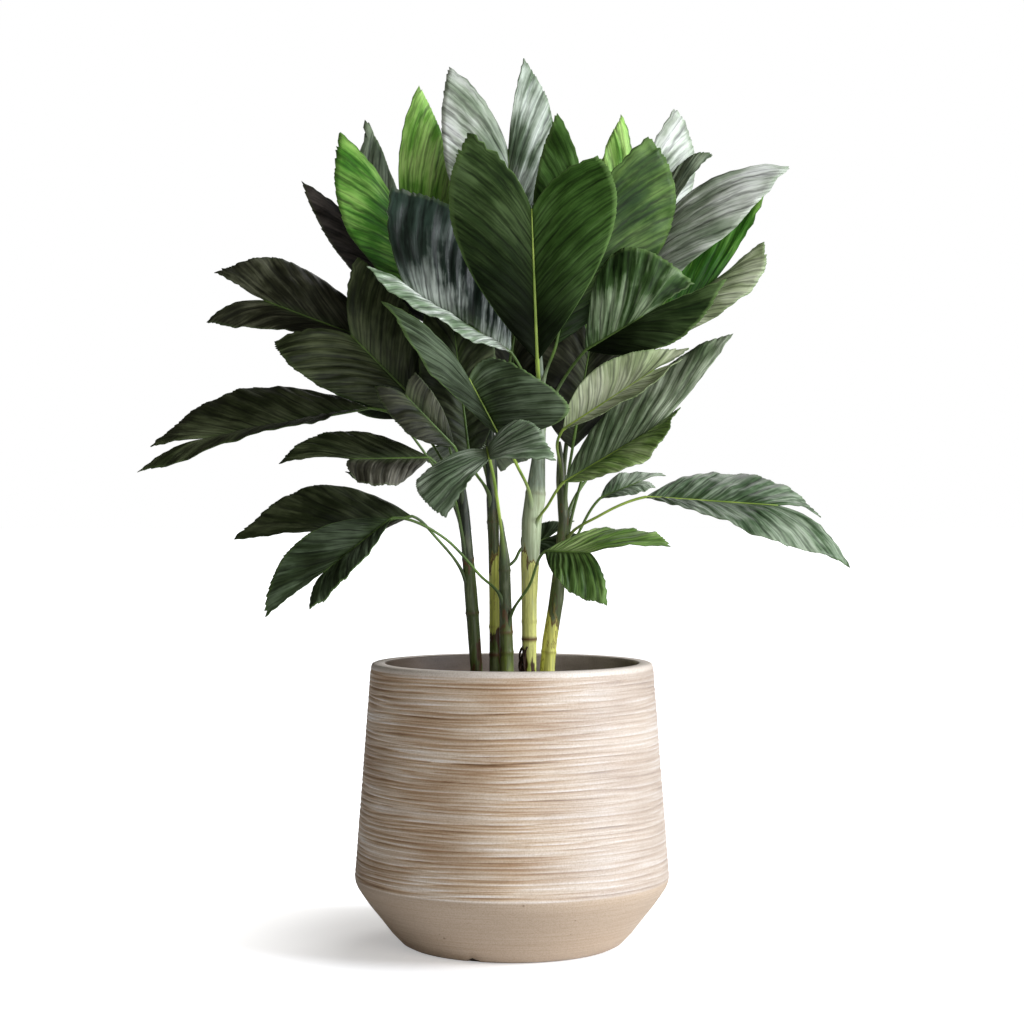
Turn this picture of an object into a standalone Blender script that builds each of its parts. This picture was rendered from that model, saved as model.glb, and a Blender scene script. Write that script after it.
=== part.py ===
"""Potted metallic palm: a ribbed pot, its soil, five canes and a crown of fish-tail fronds.

The plant stands along +Z with the middle of the pot's underside at the origin, and -Y is the
front. A frond is one closed skin: a six-sided stalk that clasps its cane, runs on as the midrib,
and carries a pleated, toothed half blade on each side. Its key points are in millimetres.
"""
import math
from collections import namedtuple

import bmesh
import bpy
from mathutils import Vector

MM = 0.001
GAP = 0.0003

# Pot: radii and heights in metres
POT_HEIGHT = 0.338
POT_WALL = 0.018
POT_FLOOR = 0.022
POT_SIDES = 36
RIM_RADIUS = 0.1705
WIDEST_RADIUS = 0.190
WIDEST_HEIGHT = 0.079
RIM_BAND = 0.010
RIM_ROUND = 0.003
RIDGES = 10
RIDGE_DEPTH = 0.0011
FLOOR_CORNER = 0.055
FOOT_PROFILE = ((0.1285, 0.0), (0.1345, 0.003), (0.147, 0.016), (0.1585, 0.031), (0.173, 0.049),
                (0.1815, 0.061), (0.1875, 0.070))
NOTCH_PLACE = Vector((-0.044, -0.122, 0.0))
NOTCH_SIZE = Vector((0.010, 0.030, 0.009))

# Soil
SOIL_TOP = 0.305
SOIL_EDGE = 0.004
SOIL_MOUND = ((0.120, 0.003), (0.070, 0.0065), (0.0, 0.008))

# Canes: centre line and radius from foot to tip, in millimetres
CANE_SIDES = 8
CANE_FOOT = 215
NODE_SWELL = 1.3
CANES = {
    1: (((-44, -8, 300), (-43, -8, 331), (-49, -9, 413), (-53, -10, 462), (-57, -11, 510), (-62, -12, 572)),
        (7.6, 7.4, 7.8, 7.0, 6.6, 5.6), (352, 398, 463, 494)),
    2: (((-21, 14, 300), (-21, 14, 331), (-21, 15, 413), (-22, 15, 470), (-24, 16, 535), (-26, 17, 640)),
        (6.8, 6.6, 6.7, 6.8, 7.2, 5.4), (346, 380, 421, 462, 508)),
    3: (((-6, -30, 300), (-6, -30, 331), (-8, -31, 413), (-9, -32, 462), (-13, -38, 512)),
        (8.6, 8.4, 7.4, 6.4, 4.6), (352, 376, 450)),
    4: (((21, 0, 300), (21, 0, 331), (21, 0, 413), (22, 0, 462), (24, 0, 510), (28, 0, 536),
         (32, 0, 583), (34, 0, 640), (34, 0, 716)),
        (8.6, 8.6, 9.2, 11.3, 12.2, 12.4, 8.4, 7.4, 5.6), (343, 366, 402, 436, 480, 560, 600)),
    5: (((43, 6, 300), (43, 6, 331), (46, 6, 364), (54, 6, 413), (59, 7, 462), (63, 8, 510),
         (60, 10, 559), (58, 12, 607)),
        (9.2, 9.0, 8.9, 8.7, 7.6, 6.6, 6.4, 5.2), (350, 392, 427, 470)),
}

# Fronds: a blade's wide points are where its outer margins stand at half their length
BLADE = 1.1 * MM
BLADE_ARCH = 0.06
STALK_RADIUS = 2.7 * MM
RIB_ROOT = 2.2 * MM
RIB_END = 1.3 * MM
CLASP_LENGTH = 22
PLEAT_HEIGHT = 1.9 * MM
MARGIN_PLEAT = 0.6
FULL_PLEAT = 45 * MM
TOOTH = 3.0 * MM
VEIN_SLANT = 1.45

Frond = namedtuple("Frond", "name cane root via base notch left_wide left_tip right_wide right_tip pleats")
# Each: name, cane, root height, stalk's bends, base, notch, left wide point and tip, right ones, pleats
FRONDS = [
    Frond("frond_01", 4, 640, (),
          (30, -62, 698), (23, -84, 876),
          (-67, -98, 843), (-49, -108, 961), (117, -94, 847), (99, -104, 935), 6),
    Frond("frond_02", 4, 609, (),
          (-1, -50, 710), (-126, -72, 785),
          (-83, -125, 738), (-171, -110, 805), (-36, -8, 854), (-145, -28, 911), 6),
    Frond("frond_03", 4, 520, ((4, -75, 579),),
          (-14, -105, 607), (-50, -115, 675),
          (-93, -150, 681), (-148, -135, 765), (57, -150, 657), (-23, -95, 702), 6),
    Frond("frond_04", 3, 462, ((-20, -95, 552),),
          (-29, -120, 594), (-26, -170, 580),
          (14, -160, 625), (49, -195, 578), (-107, -150, 561), (-75, -185, 514), 6),
    Frond("frond_05", 2, 612, (),
          (-52, 52, 739), (-137, 75, 891),
          (-193, 38, 851), (-215, 80, 996), (-68, 80, 923), (-118, 110, 1060), 5),
    Frond("frond_06", 1, 548, (),
          (-91, 95, 749), (-187, 125, 873),
          (-205, 105, 828), (-266, 112, 940), (-148, 140, 932), (-184, 155, 1019), 4),
    Frond("frond_07", 2, 590, (),
          (7, 20, 779), (-5, 60, 970),
          (-76, 35, 928), (-79, 85, 1079), (55, 68, 958), (15, 98, 1093), 5),
    Frond("frond_08", 4, 670, (),
          (53, -24, 721), (88, -14, 882),
          (24, -30, 864), (54, -30, 1000), (190, 8, 857), (165, -5, 975), 5),
    Frond("frond_09", 4, 650, (),
          (90, 50, 739), (148, 80, 923),
          (104, 62, 920), (138, 95, 1020), (221, 95, 906), (205, 115, 1032), 4),
    Frond("frond_10", 5, 575, (),
          (105, 25, 737), (197, 35, 894),
          (183, 55, 919), (251, 70, 966), (269, -20, 866), (338, 20, 946), 4),
    Frond("frond_11", 5, 480, ((87, 20, 565),),
          (137, 75, 720), (253, 85, 808),
          (225, 110, 871), (330, 115, 941), (275, 40, 775), (314, 60, 855), 5),
    Frond("frond_12", 4, 620, (),
          (88, -30, 714), (156, -56, 753),
          (123, -40, 831), (216, -62, 791), (184, -66, 717), (255, -60, 796), 4),
    Frond("frond_13", 4, 500, ((43, -30, 528),),
          (61, -50, 555), (179, -40, 625),
          (136, -12, 661), (267, -12, 736), (149, -105, 578), (198, -70, 644), 6),
    Frond("frond_14", 5, 560, (),
          (60, -72, 617), (146, -92, 674),
          (131, -112, 648), (198, -104, 698), (103, -80, 692), (208, -95, 711), 5),
    Frond("frond_15", 5, 479, ((106, -22, 516),),
          (160, -30, 538), (317, -45, 528),
          (273, 20, 569), (374, -20, 516), (261, -95, 504), (398, -75, 454), 6),
    Frond("frond_16", 5, 437, ((84, 40, 498),),
          (109, 45, 537), (159, 55, 558),
          (138, 80, 569), (192, 75, 564), (147, 25, 542), (177, 40, 551), 4),
    Frond("frond_17", 3, 385, ((21, -62, 434),),
          (39, -75, 474), (91, -105, 473),
          (122, -60, 502), (186, -90, 481), (58, -120, 436), (110, -125, 411), 5),
    Frond("frond_18", 2, 432, ((4, 50, 461),),
          (12, 58, 475), (47, 68, 489),
          (23, 84, 501), (78, 82, 509), (45, 48, 469), (89, 62, 490), 4),
    Frond("frond_19", 2, 560, (),
          (-144, 30, 719), (-306, 40, 781),
          (-270, 5, 738), (-375, 22, 751), (-266, 85, 828), (-370, 65, 817), 5),
    Frond("frond_20", 1, 548, (),
          (-87, -15, 625), (-194, -22, 733),
          (-231, -50, 671), (-284, -35, 726), (-114, 8, 748), (-189, -5, 828), 6),
    Frond("frond_21", 1, 500, ((-134, -38, 630),),
          (-170, -42, 644), (-364, -45, 608),
          (-277, -95, 615), (-442, -65, 567), (-322, 10, 670), (-435, -20, 598), 6),
    Frond("frond_22", 1, 470, (),
          (-97, -70, 584), (-190, -90, 582),
          (-143, -125, 549), (-185, -125, 564), (-198, -60, 617), (-275, -75, 578), 5),
    Frond("frond_23", 1, 432, ((-98, -40, 498),),
          (-119, -50, 515), (-221, -62, 496),
          (-228, -85, 457), (-272, -78, 428), (-237, -20, 551), (-331, -40, 485), 4),
    Frond("frond_24", 3, 410, ((-38, -60, 445), (-84, -92, 493),),
          (-140, -105, 513), (-218, -124, 450),
          (-176, -150, 458), (-233, -140, 408), (-246, -115, 488), (-285, -128, 398), 4),
    Frond("frond_25", 2, 530, (),
          (-50, -34, 580), (-69, -18, 733),
          (-108, -30, 664), (-97, -2, 795), (-18, -30, 659), (-36, -2, 789), 5),
    Frond("frond_26", 1, 542, (),
          (-68, -55, 597), (-126, -70, 658),
          (-125, -88, 614), (-161, -80, 669), (-85, -60, 647), (-115, -68, 685), 4),
    Frond("frond_27", 5, 530, (),
          (73, -8, 596), (95, 2, 723),
          (45, 0, 694), (60, 10, 788), (156, 3, 697), (163, 12, 776), 5),
    Frond("frond_28", 2, 540, (),
          (-40, 105, 700), (-75, 195, 835),
          (-140, 170, 815), (-130, 240, 905), (10, 165, 825), (-25, 235, 910), 5),
    Frond("frond_29", 5, 540, (),
          (85, 105, 690), (130, 185, 800),
          (60, 170, 790), (95, 245, 880), (190, 165, 780), (200, 225, 860), 5),
    Frond("frond_30", 1, 512, (),
          (-125, 80, 640), (-205, 145, 700),
          (-200, 150, 650), (-262, 190, 715), (-150, 160, 740), (-215, 215, 775), 5),
    Frond("frond_31", 5, 500, (),
          (115, 95, 590), (160, 160, 645),
          (130, 160, 660), (205, 210, 700), (170, 150, 600), (185, 225, 640), 4),
    Frond("frond_32", 4, 655, (),
          (30, 110, 740), (32, 185, 880),
          (-30, 170, 865), (-8, 230, 955), (92, 165, 865), (75, 225, 950), 5),
    Frond("frond_33", 2, 470, (),
          (-30, 115, 600), (-48, 200, 615),
          (-110, 190, 600), (-90, 260, 570), (30, 190, 600), (-15, 270, 575), 4),
    Frond("frond_34", 2, 575, (),
          (-78, 118, 775), (-150, 148, 865),
          (-172, 148, 820), (-212, 182, 905), (-85, 150, 885), (-132, 192, 950), 5),
    Frond("frond_35", 4, 680, (),
          (90, 115, 760), (155, 160, 860),
          (95, 165, 865), (160, 215, 945), (195, 155, 830), (212, 205, 915), 5),
    Frond("frond_36", 4, 585, (),
          (2, 42, 626), (2, 50, 733),
          (-47, 24, 717), (-28, 46, 798), (24, 38, 705), (26, 56, 792), 4),
]


def clear_scene():
    for item in list(bpy.data.objects):
        bpy.data.objects.remove(item, do_unlink=True)


def make_material(name, colour, roughness, metallic=0.0):
    material = bpy.data.materials.new(name)
    material.use_nodes = True
    shader = material.node_tree.nodes["Principled BSDF"]
    shader.inputs["Base Color"].default_value = (*colour, 1.0)
    shader.inputs["Roughness"].default_value = roughness
    shader.inputs["Metallic"].default_value = metallic
    return material


def place_mesh(name, bm, material):
    """Turn a bmesh into a named, smooth-shaded object of the scene."""
    mesh = bpy.data.meshes.new(name)
    bm.to_mesh(mesh)
    bm.free()
    mesh.shade_smooth()
    mesh.set_sharp_from_angle(angle=math.radians(35))
    item = bpy.data.objects.new(name, mesh)
    item.data.materials.append(material)
    bpy.context.scene.collection.objects.link(item)
    return item


def turned(profile, sides):
    """Spin a closed (radius, height) outline, listed up its outer side, into one solid."""
    bm = bmesh.new()
    points = [bm.verts.new((radius, 0, height)) for radius, height in profile]
    edges = [bm.edges.new(pair) for pair in zip(points, points[1:])]
    bmesh.ops.spin(bm, geom=points + edges, axis=(0, 0, 1), cent=(0, 0, 0),
                   angle=math.tau, steps=sides, use_merge=True)
    bmesh.ops.remove_doubles(bm, verts=bm.verts, dist=1e-6)
    bmesh.ops.recalc_face_normals(bm, faces=bm.faces)
    return bm


def wall_radius(height):
    """Radius of the pot's smooth outer wall at a height."""
    if height < WIDEST_HEIGHT:
        points = FOOT_PROFILE + ((WIDEST_RADIUS, WIDEST_HEIGHT),)
        for (r0, h0), (r1, h1) in zip(points, points[1:]):
            if height <= h1:
                return r0 + (r1 - r0) * (height - h0) / (h1 - h0)
    rise = (height - WIDEST_HEIGHT) / (POT_HEIGHT - WIDEST_HEIGHT)
    return WIDEST_RADIUS - (WIDEST_RADIUS - RIM_RADIUS) * rise


def make_pot():
    """The wall with its level ridges, the smooth rim and foot, and the drain notch in the foot."""
    clay = make_material("glazed_clay", (0.66, 0.56, 0.45), 0.45)
    outline = [(0.0, 0.0)]
    outline += FOOT_PROFILE
    ribbed_top = POT_HEIGHT - RIM_BAND
    step = (ribbed_top - WIDEST_HEIGHT) / (2 * RIDGES)
    for row in range(2 * RIDGES + 1):
        height = WIDEST_HEIGHT + row * step
        outline.append((wall_radius(height) + (RIDGE_DEPTH if row % 2 else 0.0), height))
    inner = RIM_RADIUS - POT_WALL
    outline += [(RIM_RADIUS, POT_HEIGHT - RIM_ROUND), (RIM_RADIUS - RIM_ROUND, POT_HEIGHT),
                (inner + RIM_ROUND, POT_HEIGHT), (inner, POT_HEIGHT - RIM_ROUND)]
    for height in (WIDEST_HEIGHT, FLOOR_CORNER, POT_FLOOR):
        outline.append((wall_radius(height) - POT_WALL, height))
    outline.append((0.0, POT_FLOOR))
    pot = place_mesh("pot", turned(outline, POT_SIDES), clay)

    bm = bmesh.new()
    bmesh.ops.create_cube(bm, size=1.0)
    bmesh.ops.scale(bm, vec=NOTCH_SIZE, verts=bm.verts)
    bmesh.ops.translate(bm, vec=NOTCH_PLACE, verts=bm.verts)
    cutter = place_mesh("notch_cutter", bm, clay)
    hide_cutter(cutter)
    cut(pot, cutter)
    return pot


def hide_cutter(cutter):
    cutter.hide_render = True
    cutter.display_type = "WIRE"


def cut(item, cutter):
    modifier = item.modifiers.new("cut_" + cutter.name, "BOOLEAN")
    modifier.operation = "DIFFERENCE"
    modifier.solver = "EXACT"
    modifier.object = cutter


def make_soil():
    """Soil that fills the pot to just under the rim, a little raised, with a hole for each cane."""
    earth = make_material("potting_soil", (0.06, 0.04, 0.03), 0.95)
    clear = POT_WALL + 2 * GAP
    outline = [(0.0, POT_FLOOR + GAP)]
    edge = SOIL_TOP - SOIL_EDGE
    for height in (POT_FLOOR + GAP, FLOOR_CORNER, WIDEST_HEIGHT, edge):
        outline.append((wall_radius(height) - clear, height))
    outline += [(radius, edge + rise) for radius, rise in SOIL_MOUND]
    soil = place_mesh("soil", turned(outline, POT_SIDES), earth)
    for number in CANES:
        cutter = place_mesh("hole_cutter_%d" % number, cane_mesh(number, GAP), earth)
        hide_cutter(cutter)
        cut(soil, cutter)
    return soil


def smooth_path(points, headings, rows):
    """Points along smooth spans through the given points, each passed in its given heading."""
    found = [points[0]]
    for k in range(len(points) - 1):
        a, b = points[k], points[k + 1]
        length = (b - a).length
        m, n = headings[k] * length, headings[k + 1] * length
        for row in range(1, rows[k] + 1):
            t = row / rows[k]
            found.append(a * (2 * t ** 3 - 3 * t * t + 1) + m * (t ** 3 - 2 * t * t + t)
                         + b * (3 * t * t - 2 * t ** 3) + n * (t ** 3 - t * t))
    return found


def cane_line(number):
    """Centre points and radii of a cane, in metres, from its foot in the soil to its tip."""
    points, radii, _ = CANES[number]
    foot = (points[0][0], points[0][1], CANE_FOOT)
    return [Vector(p) * MM for p in (foot, *points)], [r * MM for r in (radii[0], *radii)]


def cane_at(number, height):
    """Centre and radius of a cane at a height, in metres."""
    centres, radii = cane_line(number)
    for low, high, r0, r1 in zip(centres, centres[1:], radii, radii[1:]):
        if height <= high.z:
            break
    part = (height - low.z) / (high.z - low.z)
    return low.lerp(high, part), r0 + (r1 - r0) * part


def cane_reach(radius, out):
    """How far a cane's flat sides and corners reach from its axis in a level direction."""
    pitch = math.tau / CANE_SIDES
    off = abs((math.atan2(out.y, out.x) + pitch / 2) % pitch - pitch / 2)
    return radius * math.cos(pitch / 2 - off)


def cane_mesh(number, extra=0.0):
    """A ringed cane as one tube; extra widens it to cut the hole that it stands in."""
    tip = cane_line(number)[0][-1].z
    rows = [CANE_FOOT * MM, 0.300, 0.331] + [p[2] * MM for p in CANES[number][0][2:]]
    rings = {round(height, 4): 0.0 for height in rows}
    for node in CANES[number][2]:
        for offset, swell in ((-4, 0.0), (0, NODE_SWELL), (4, 0.0)):
            rings[round((node + offset) * MM, 4)] = swell * MM
    bm = bmesh.new()
    loops = []
    for height in sorted(rings):
        centre, radius = cane_at(number, min(height, tip))
        radius += rings[height] + extra
        loops.append([bm.verts.new(centre + Vector((math.cos(a), math.sin(a), 0)) * radius)
                      for a in (math.tau * (k + 0.5) / CANE_SIDES for k in range(CANE_SIDES))])
    if extra:
        for vert in loops[0]:
            vert.co.z -= extra
    for low, high in zip(loops, loops[1:]):
        for k in range(CANE_SIDES):
            n = (k + 1) % CANE_SIDES
            bm.faces.new((low[k], low[n], high[n], high[k]))
    bm.faces.new(list(reversed(loops[0])))
    bm.faces.new(loops[-1])
    return bm


def make_canes():
    colours = {1: (0.10, 0.13, 0.05), 2: (0.24, 0.30, 0.08), 3: (0.26, 0.30, 0.08),
               4: (0.36, 0.38, 0.12), 5: (0.33, 0.36, 0.12)}
    for number, colour in colours.items():
        material = make_material("cane_bark_%d" % number, colour, 0.5)
        place_mesh("cane_%d" % number, cane_mesh(number), material)


def curve_point(start, through, end, t):
    """Point at t of the parabola that passes through the middle point at one half."""
    control = through * 2 - (start + end) * 0.5
    return start * (1 - t) ** 2 + control * 2 * t * (1 - t) + end * t * t


def rib_width(u):
    """Half width of the midrib, from the blade's base at 0 to the notch at 1."""
    return RIB_ROOT + (RIB_END - RIB_ROOT) * u


def stalk_line(frond):
    """Centre points of the stalk, from the clasp on its cane to the blade's base."""
    base, notch = Vector(frond.base) * MM, Vector(frond.notch) * MM
    towards = Vector(frond.via[0]) * MM if frond.via else base
    low, low_radius = cane_at(frond.cane, frond.root * MM)
    high, high_radius = cane_at(frond.cane, (frond.root + CLASP_LENGTH) * MM)
    out = Vector((towards.x - low.x, towards.y - low.y, 0)).normalized()
    reach = cane_reach(max(low_radius, high_radius), out) + STALK_RADIUS + GAP
    start, clasp = low + out * reach, high + out * (reach + 2 * GAP)
    points = [start, clasp] + [Vector(place) * MM for place in frond.via] + [base]
    headings = [(clasp - start).normalized()] * 2
    headings += [(after - before).normalized() for before, after in zip(points[1:], points[3:])]
    headings.append((notch - base).normalized())
    rows = [1] + [2 if frond.via else 4] * (len(points) - 2)
    return smooth_path(points, headings, rows)


def blade_axes(frond):
    """The blade's directions at its midrib: towards the notch, to the right, and off the upper side."""
    base, notch = Vector(frond.base) * MM, Vector(frond.notch) * MM
    left = curve_point(base, Vector(frond.left_wide) * MM, Vector(frond.left_tip) * MM, 0.6)
    right = curve_point(base, Vector(frond.right_wide) * MM, Vector(frond.right_tip) * MM, 0.6)
    along = (notch - base).normalized()
    across = right - left
    side = (across - along * across.dot(along)).normalized()
    return along, side, side.cross(along)


def wing_lifts(frond):
    """The directions off the upper side of the left and the right half blade."""
    along = blade_axes(frond)[0]
    base = Vector(frond.base) * MM
    left = along.cross(Vector(frond.left_wide) * MM - base).normalized()
    right = (Vector(frond.right_wide) * MM - base).cross(along).normalized()
    return left, right


def blade_sheet(frond):
    """Rows of seven points of the blade's middle surface, left margin to right, base to notch.

    Each row follows a main vein out from the midrib on both sides. Every second vein stands up
    as a pleat and ends in a tooth of the margin.
    """
    side = blade_axes(frond)[1]
    base, notch = Vector(frond.base) * MM, Vector(frond.notch) * MM
    left_root, right_root = base - side * RIB_ROOT, base + side * RIB_ROOT
    rows = [(left_root, left_root, left_root, base, right_root, right_root, right_root)]
    count = 2 * frond.pleats
    left_lift, right_lift = wing_lifts(frond)
    halves = ((-1, frond.left_wide, frond.left_tip, left_lift),
              (1, frond.right_wide, frond.right_tip, right_lift))
    for row in range(1, count + 1):
        u = row / count
        middle = base.lerp(notch, u ** VEIN_SLANT)
        way = 0 if row == count else (1 if row % 2 else -1)
        sides = []
        for sign, wide, tip, lift in halves:
            inner = middle + side * rib_width(u) * sign
            outer = curve_point(base, Vector(wide) * MM, Vector(tip) * MM, u)
            vein = outer - inner
            fold = way * min(vein.length / FULL_PLEAT, 1.0)
            outer = outer + vein.normalized() * TOOTH * 0.5 * fold
            arch = lift * (vein.length * BLADE_ARCH + PLEAT_HEIGHT * fold)
            hem = lift * (PLEAT_HEIGHT * MARGIN_PLEAT * fold)
            sides.append((inner, inner.lerp(outer, 0.5) + arch, outer + hem))
        left, right = sides
        rows.append((left[2], left[1], left[0], middle, right[0], right[1], right[2]))
    return rows


def add_stalk(bm, frond):
    """Six-sided rings of the stalk; the last one flattens into the roots of the half blades."""
    along, side, _ = blade_axes(frond)
    centres = stalk_line(frond)
    last = len(centres) - 1
    rings = []
    for k, centre in enumerate(centres):
        ahead = along if k == last else centres[k + 1] - centres[max(k - 1, 0)]
        ahead = ahead.normalized()
        wide = side - ahead * side.dot(ahead)
        if wide.length < 0.2:
            wide = ahead.cross(Vector((0, 1, 0)))
        wide.normalize()
        lift = wide.cross(ahead)
        share = k / last
        radius = STALK_RADIUS + (RIB_ROOT - STALK_RADIUS) * share
        half = radius * 0.5 * (1 - share) + BLADE * 0.5 * share
        ring = (-wide * radius + lift * half, lift * radius * 0.9, wide * radius + lift * half,
                wide * radius - lift * half, -lift * radius, -wide * radius - lift * half)
        rings.append([bm.verts.new(centre + corner) for corner in ring])
    for low, high in zip(rings, rings[1:]):
        for k in range(6):
            n = (k + 1) % 6
            bm.faces.new((low[k], low[n], high[n], high[k]))
    bm.faces.new(list(reversed(rings[0])))
    return rings[-1]


def add_skins(bm, frond, root_ring):
    """Vertices of the blade's top and under skins, row by row, starting at the stalk's last ring."""
    up = blade_axes(frond)[2]
    left_lift, right_lift = wing_lifts(frond)
    lifts = [left_lift, left_lift, (left_lift + up).normalized(), up,
             (right_lift + up).normalized(), right_lift, right_lift]
    sheet = blade_sheet(frond)
    last = len(sheet) - 1
    a, b, c, d, e, f = root_ring
    tops, unders = [[a, a, a, b, c, c, c]], [[f, f, f, e, d, d, d]]
    for row in range(1, last + 1):
        top, under = [], []
        for column in range(7):
            back, ahead = sheet[row - 1][column], sheet[min(row + 1, last)][column]
            left, right = sheet[row][max(column - 1, 0)], sheet[row][min(column + 1, 6)]
            normal = (right - left).cross(ahead - back).normalized()
            lift = lifts[column]
            normal = (normal + lift).normalized() if normal.dot(lift) > 0.5 else lift
            rise = drop = BLADE * 0.5
            if column == 3:
                rib = rib_width(row / last)
                normal, rise, drop = up, rib * 0.6, rib
            top.append(bm.verts.new(sheet[row][column] + normal * rise))
            under.append(bm.verts.new(sheet[row][column] - normal * drop))
        tops.append(top)
        unders.append(under)
    return tops, unders


def make_frond(frond, material):
    """One closed skin: stalk, midrib and two half blades, with twin triangles on both faces."""
    bm = bmesh.new()
    tops, unders = add_skins(bm, frond, add_stalk(bm, frond))
    last = len(tops) - 1

    def twins(*corners):
        """One triangle of the top skin and its twin below, facing the other way."""
        bm.faces.new([tops[row][column] for row, column in corners])
        bm.faces.new([unders[row][column] for row, column in reversed(corners)])

    for c in range(6):
        twins((0, c), (1, c + 1), (1, c))
        if c in (2, 3):
            twins((0, c), (0, c + 1), (1, c + 1))
    for r in range(1, last):
        for c in range(6):
            if (r % 2 == 0) == (c < 3):
                twins((r, c), (r, c + 1), (r + 1, c + 1))
                twins((r, c), (r + 1, c + 1), (r + 1, c))
            else:
                twins((r, c), (r, c + 1), (r + 1, c))
                twins((r, c + 1), (r + 1, c + 1), (r + 1, c))
    for r in range(last):
        bm.faces.new((unders[r][0], tops[r][0], tops[r + 1][0]))
        bm.faces.new((unders[r][0], tops[r + 1][0], unders[r + 1][0]))
        bm.faces.new((tops[r][6], unders[r][6], unders[r + 1][6]))
        bm.faces.new((tops[r][6], unders[r + 1][6], tops[r + 1][6]))
    for c in range(6):
        bm.faces.new((tops[last][c], tops[last][c + 1], unders[last][c + 1]))
        bm.faces.new((tops[last][c], unders[last][c + 1], unders[last][c]))
    bmesh.ops.recalc_face_normals(bm, faces=bm.faces)
    return place_mesh(frond.name, bm, material)


def make_fronds():
    leaf = make_material("palm_leaf", (0.05, 0.10, 0.05), 0.35)
    for frond in FRONDS:
        make_frond(frond, leaf)


def main():
    clear_scene()
    make_pot()
    make_soil()
    make_canes()
    make_fronds()


main()
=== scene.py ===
# %% [markdown]
# # A potted metallic palm
# The plant has a round ribbed pot, a bed of soil, five ringed stems and a crown of fish-tail
# fronds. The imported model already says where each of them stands, so the first step loads it.
# Every piece below is shaped finer than its solid, and then takes the solid's place.

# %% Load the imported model
import math
import random
from collections import namedtuple

import bmesh
import bpy
from mathutils import Matrix, Vector, noise


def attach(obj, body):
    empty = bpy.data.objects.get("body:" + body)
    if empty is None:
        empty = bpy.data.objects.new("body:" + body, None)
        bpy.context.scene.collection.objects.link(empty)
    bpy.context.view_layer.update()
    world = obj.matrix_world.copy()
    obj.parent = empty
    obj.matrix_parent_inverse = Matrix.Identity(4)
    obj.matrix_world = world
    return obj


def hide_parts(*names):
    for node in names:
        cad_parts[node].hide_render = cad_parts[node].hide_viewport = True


MM = 0.001
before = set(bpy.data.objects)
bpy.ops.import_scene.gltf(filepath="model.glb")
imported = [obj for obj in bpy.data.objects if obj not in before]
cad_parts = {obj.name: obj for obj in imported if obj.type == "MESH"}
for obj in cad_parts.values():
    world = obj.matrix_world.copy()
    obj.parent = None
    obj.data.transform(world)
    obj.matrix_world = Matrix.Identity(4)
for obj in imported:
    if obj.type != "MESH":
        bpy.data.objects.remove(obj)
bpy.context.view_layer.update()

# %% [markdown]
# The camera comes first, because it decides how large each detail shows. The pot's rim is seen
# as a flat ellipse and the picture has no leaning uprights, so the camera looks level, from a
# little above the middle of the plant. The far white background is only the colour of the world.

# %% Camera
camera = bpy.data.objects.new("camera", bpy.data.cameras.new("camera"))
camera.location = (0.0, -2.57, 0.52)
camera.rotation_euler = (math.radians(90), 0.0, 0.0)
camera.data.sensor_width = 36.0
camera.data.lens = 74.45
bpy.context.scene.collection.objects.link(camera)
bpy.context.scene.camera = camera
print("camera", tuple(camera.location), camera.data.lens)

# %% [markdown]
# Two small helpers carry all the materials. Colours are written as the hex values that a
# painting program shows, and Blender calculates with linear light, so one function turns them.
# The other adds a node, sets its properties, and fills its inputs with values or with links.

# %% Helpers for materials
def colour(hex_code):
    """The linear colour of an sRGB hex value."""
    parts = [int(hex_code[k:k + 2], 16) / 255 for k in (1, 3, 5)]
    return (*(p / 12.92 if p < 0.04045 else ((p + 0.055) / 1.055) ** 2.4 for p in parts), 1.0)


def add_node(tree, kind, inputs, stops=(), **settings):
    """Add a shader node; inputs are values or the sockets that feed them."""
    new = tree.nodes.new("ShaderNode" + kind)
    for name, value in settings.items():
        setattr(new, name, value)
    for name, value in inputs.items():
        if isinstance(value, bpy.types.NodeSocket):
            tree.links.new(value, new.inputs[name])
        else:
            new.inputs[name].default_value = value
    for k, (place, code) in enumerate(stops):
        mark = new.color_ramp.elements[k] if k < 2 else new.color_ramp.elements.new(place)
        mark.position = place
        mark.color = colour(code)
    return new


def start_finish(name, roughness, ior=1.45):
    """A new material with its Principled shader set for a plain dielectric."""
    material = bpy.data.materials.new(name)
    material.use_nodes = True
    shader = material.node_tree.nodes["Principled BSDF"]
    shader.inputs["Roughness"].default_value = roughness
    shader.inputs["IOR"].default_value = ior
    return material, material.node_tree, shader


print("white is", colour("#ffffff"))

# %% [markdown]
# A tube is grown the way it is drawn by hand: one ring of edges, then ring after ring extruded
# along a path. Each new ring is moved by the step between two frames, a frame being the place,
# the directions and the width of the tube there. Stems and leaf stalks are both made like this.

# %% Helpers for shapes
def vec(point):
    """A point given in millimetres, in metres."""
    return Vector(point) * MM


def ring_frame(centre, ahead, side, width, height):
    """The matrix that puts a unit circle at a place of a path, with the given half sizes."""
    ahead = ahead.normalized()
    across = (side - ahead * side.dot(ahead)).normalized()
    lift = across.cross(ahead)
    turn = Matrix((across * width, lift * height, -ahead * width)).transposed().to_4x4()
    return Matrix.Translation(centre) @ turn


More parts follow.
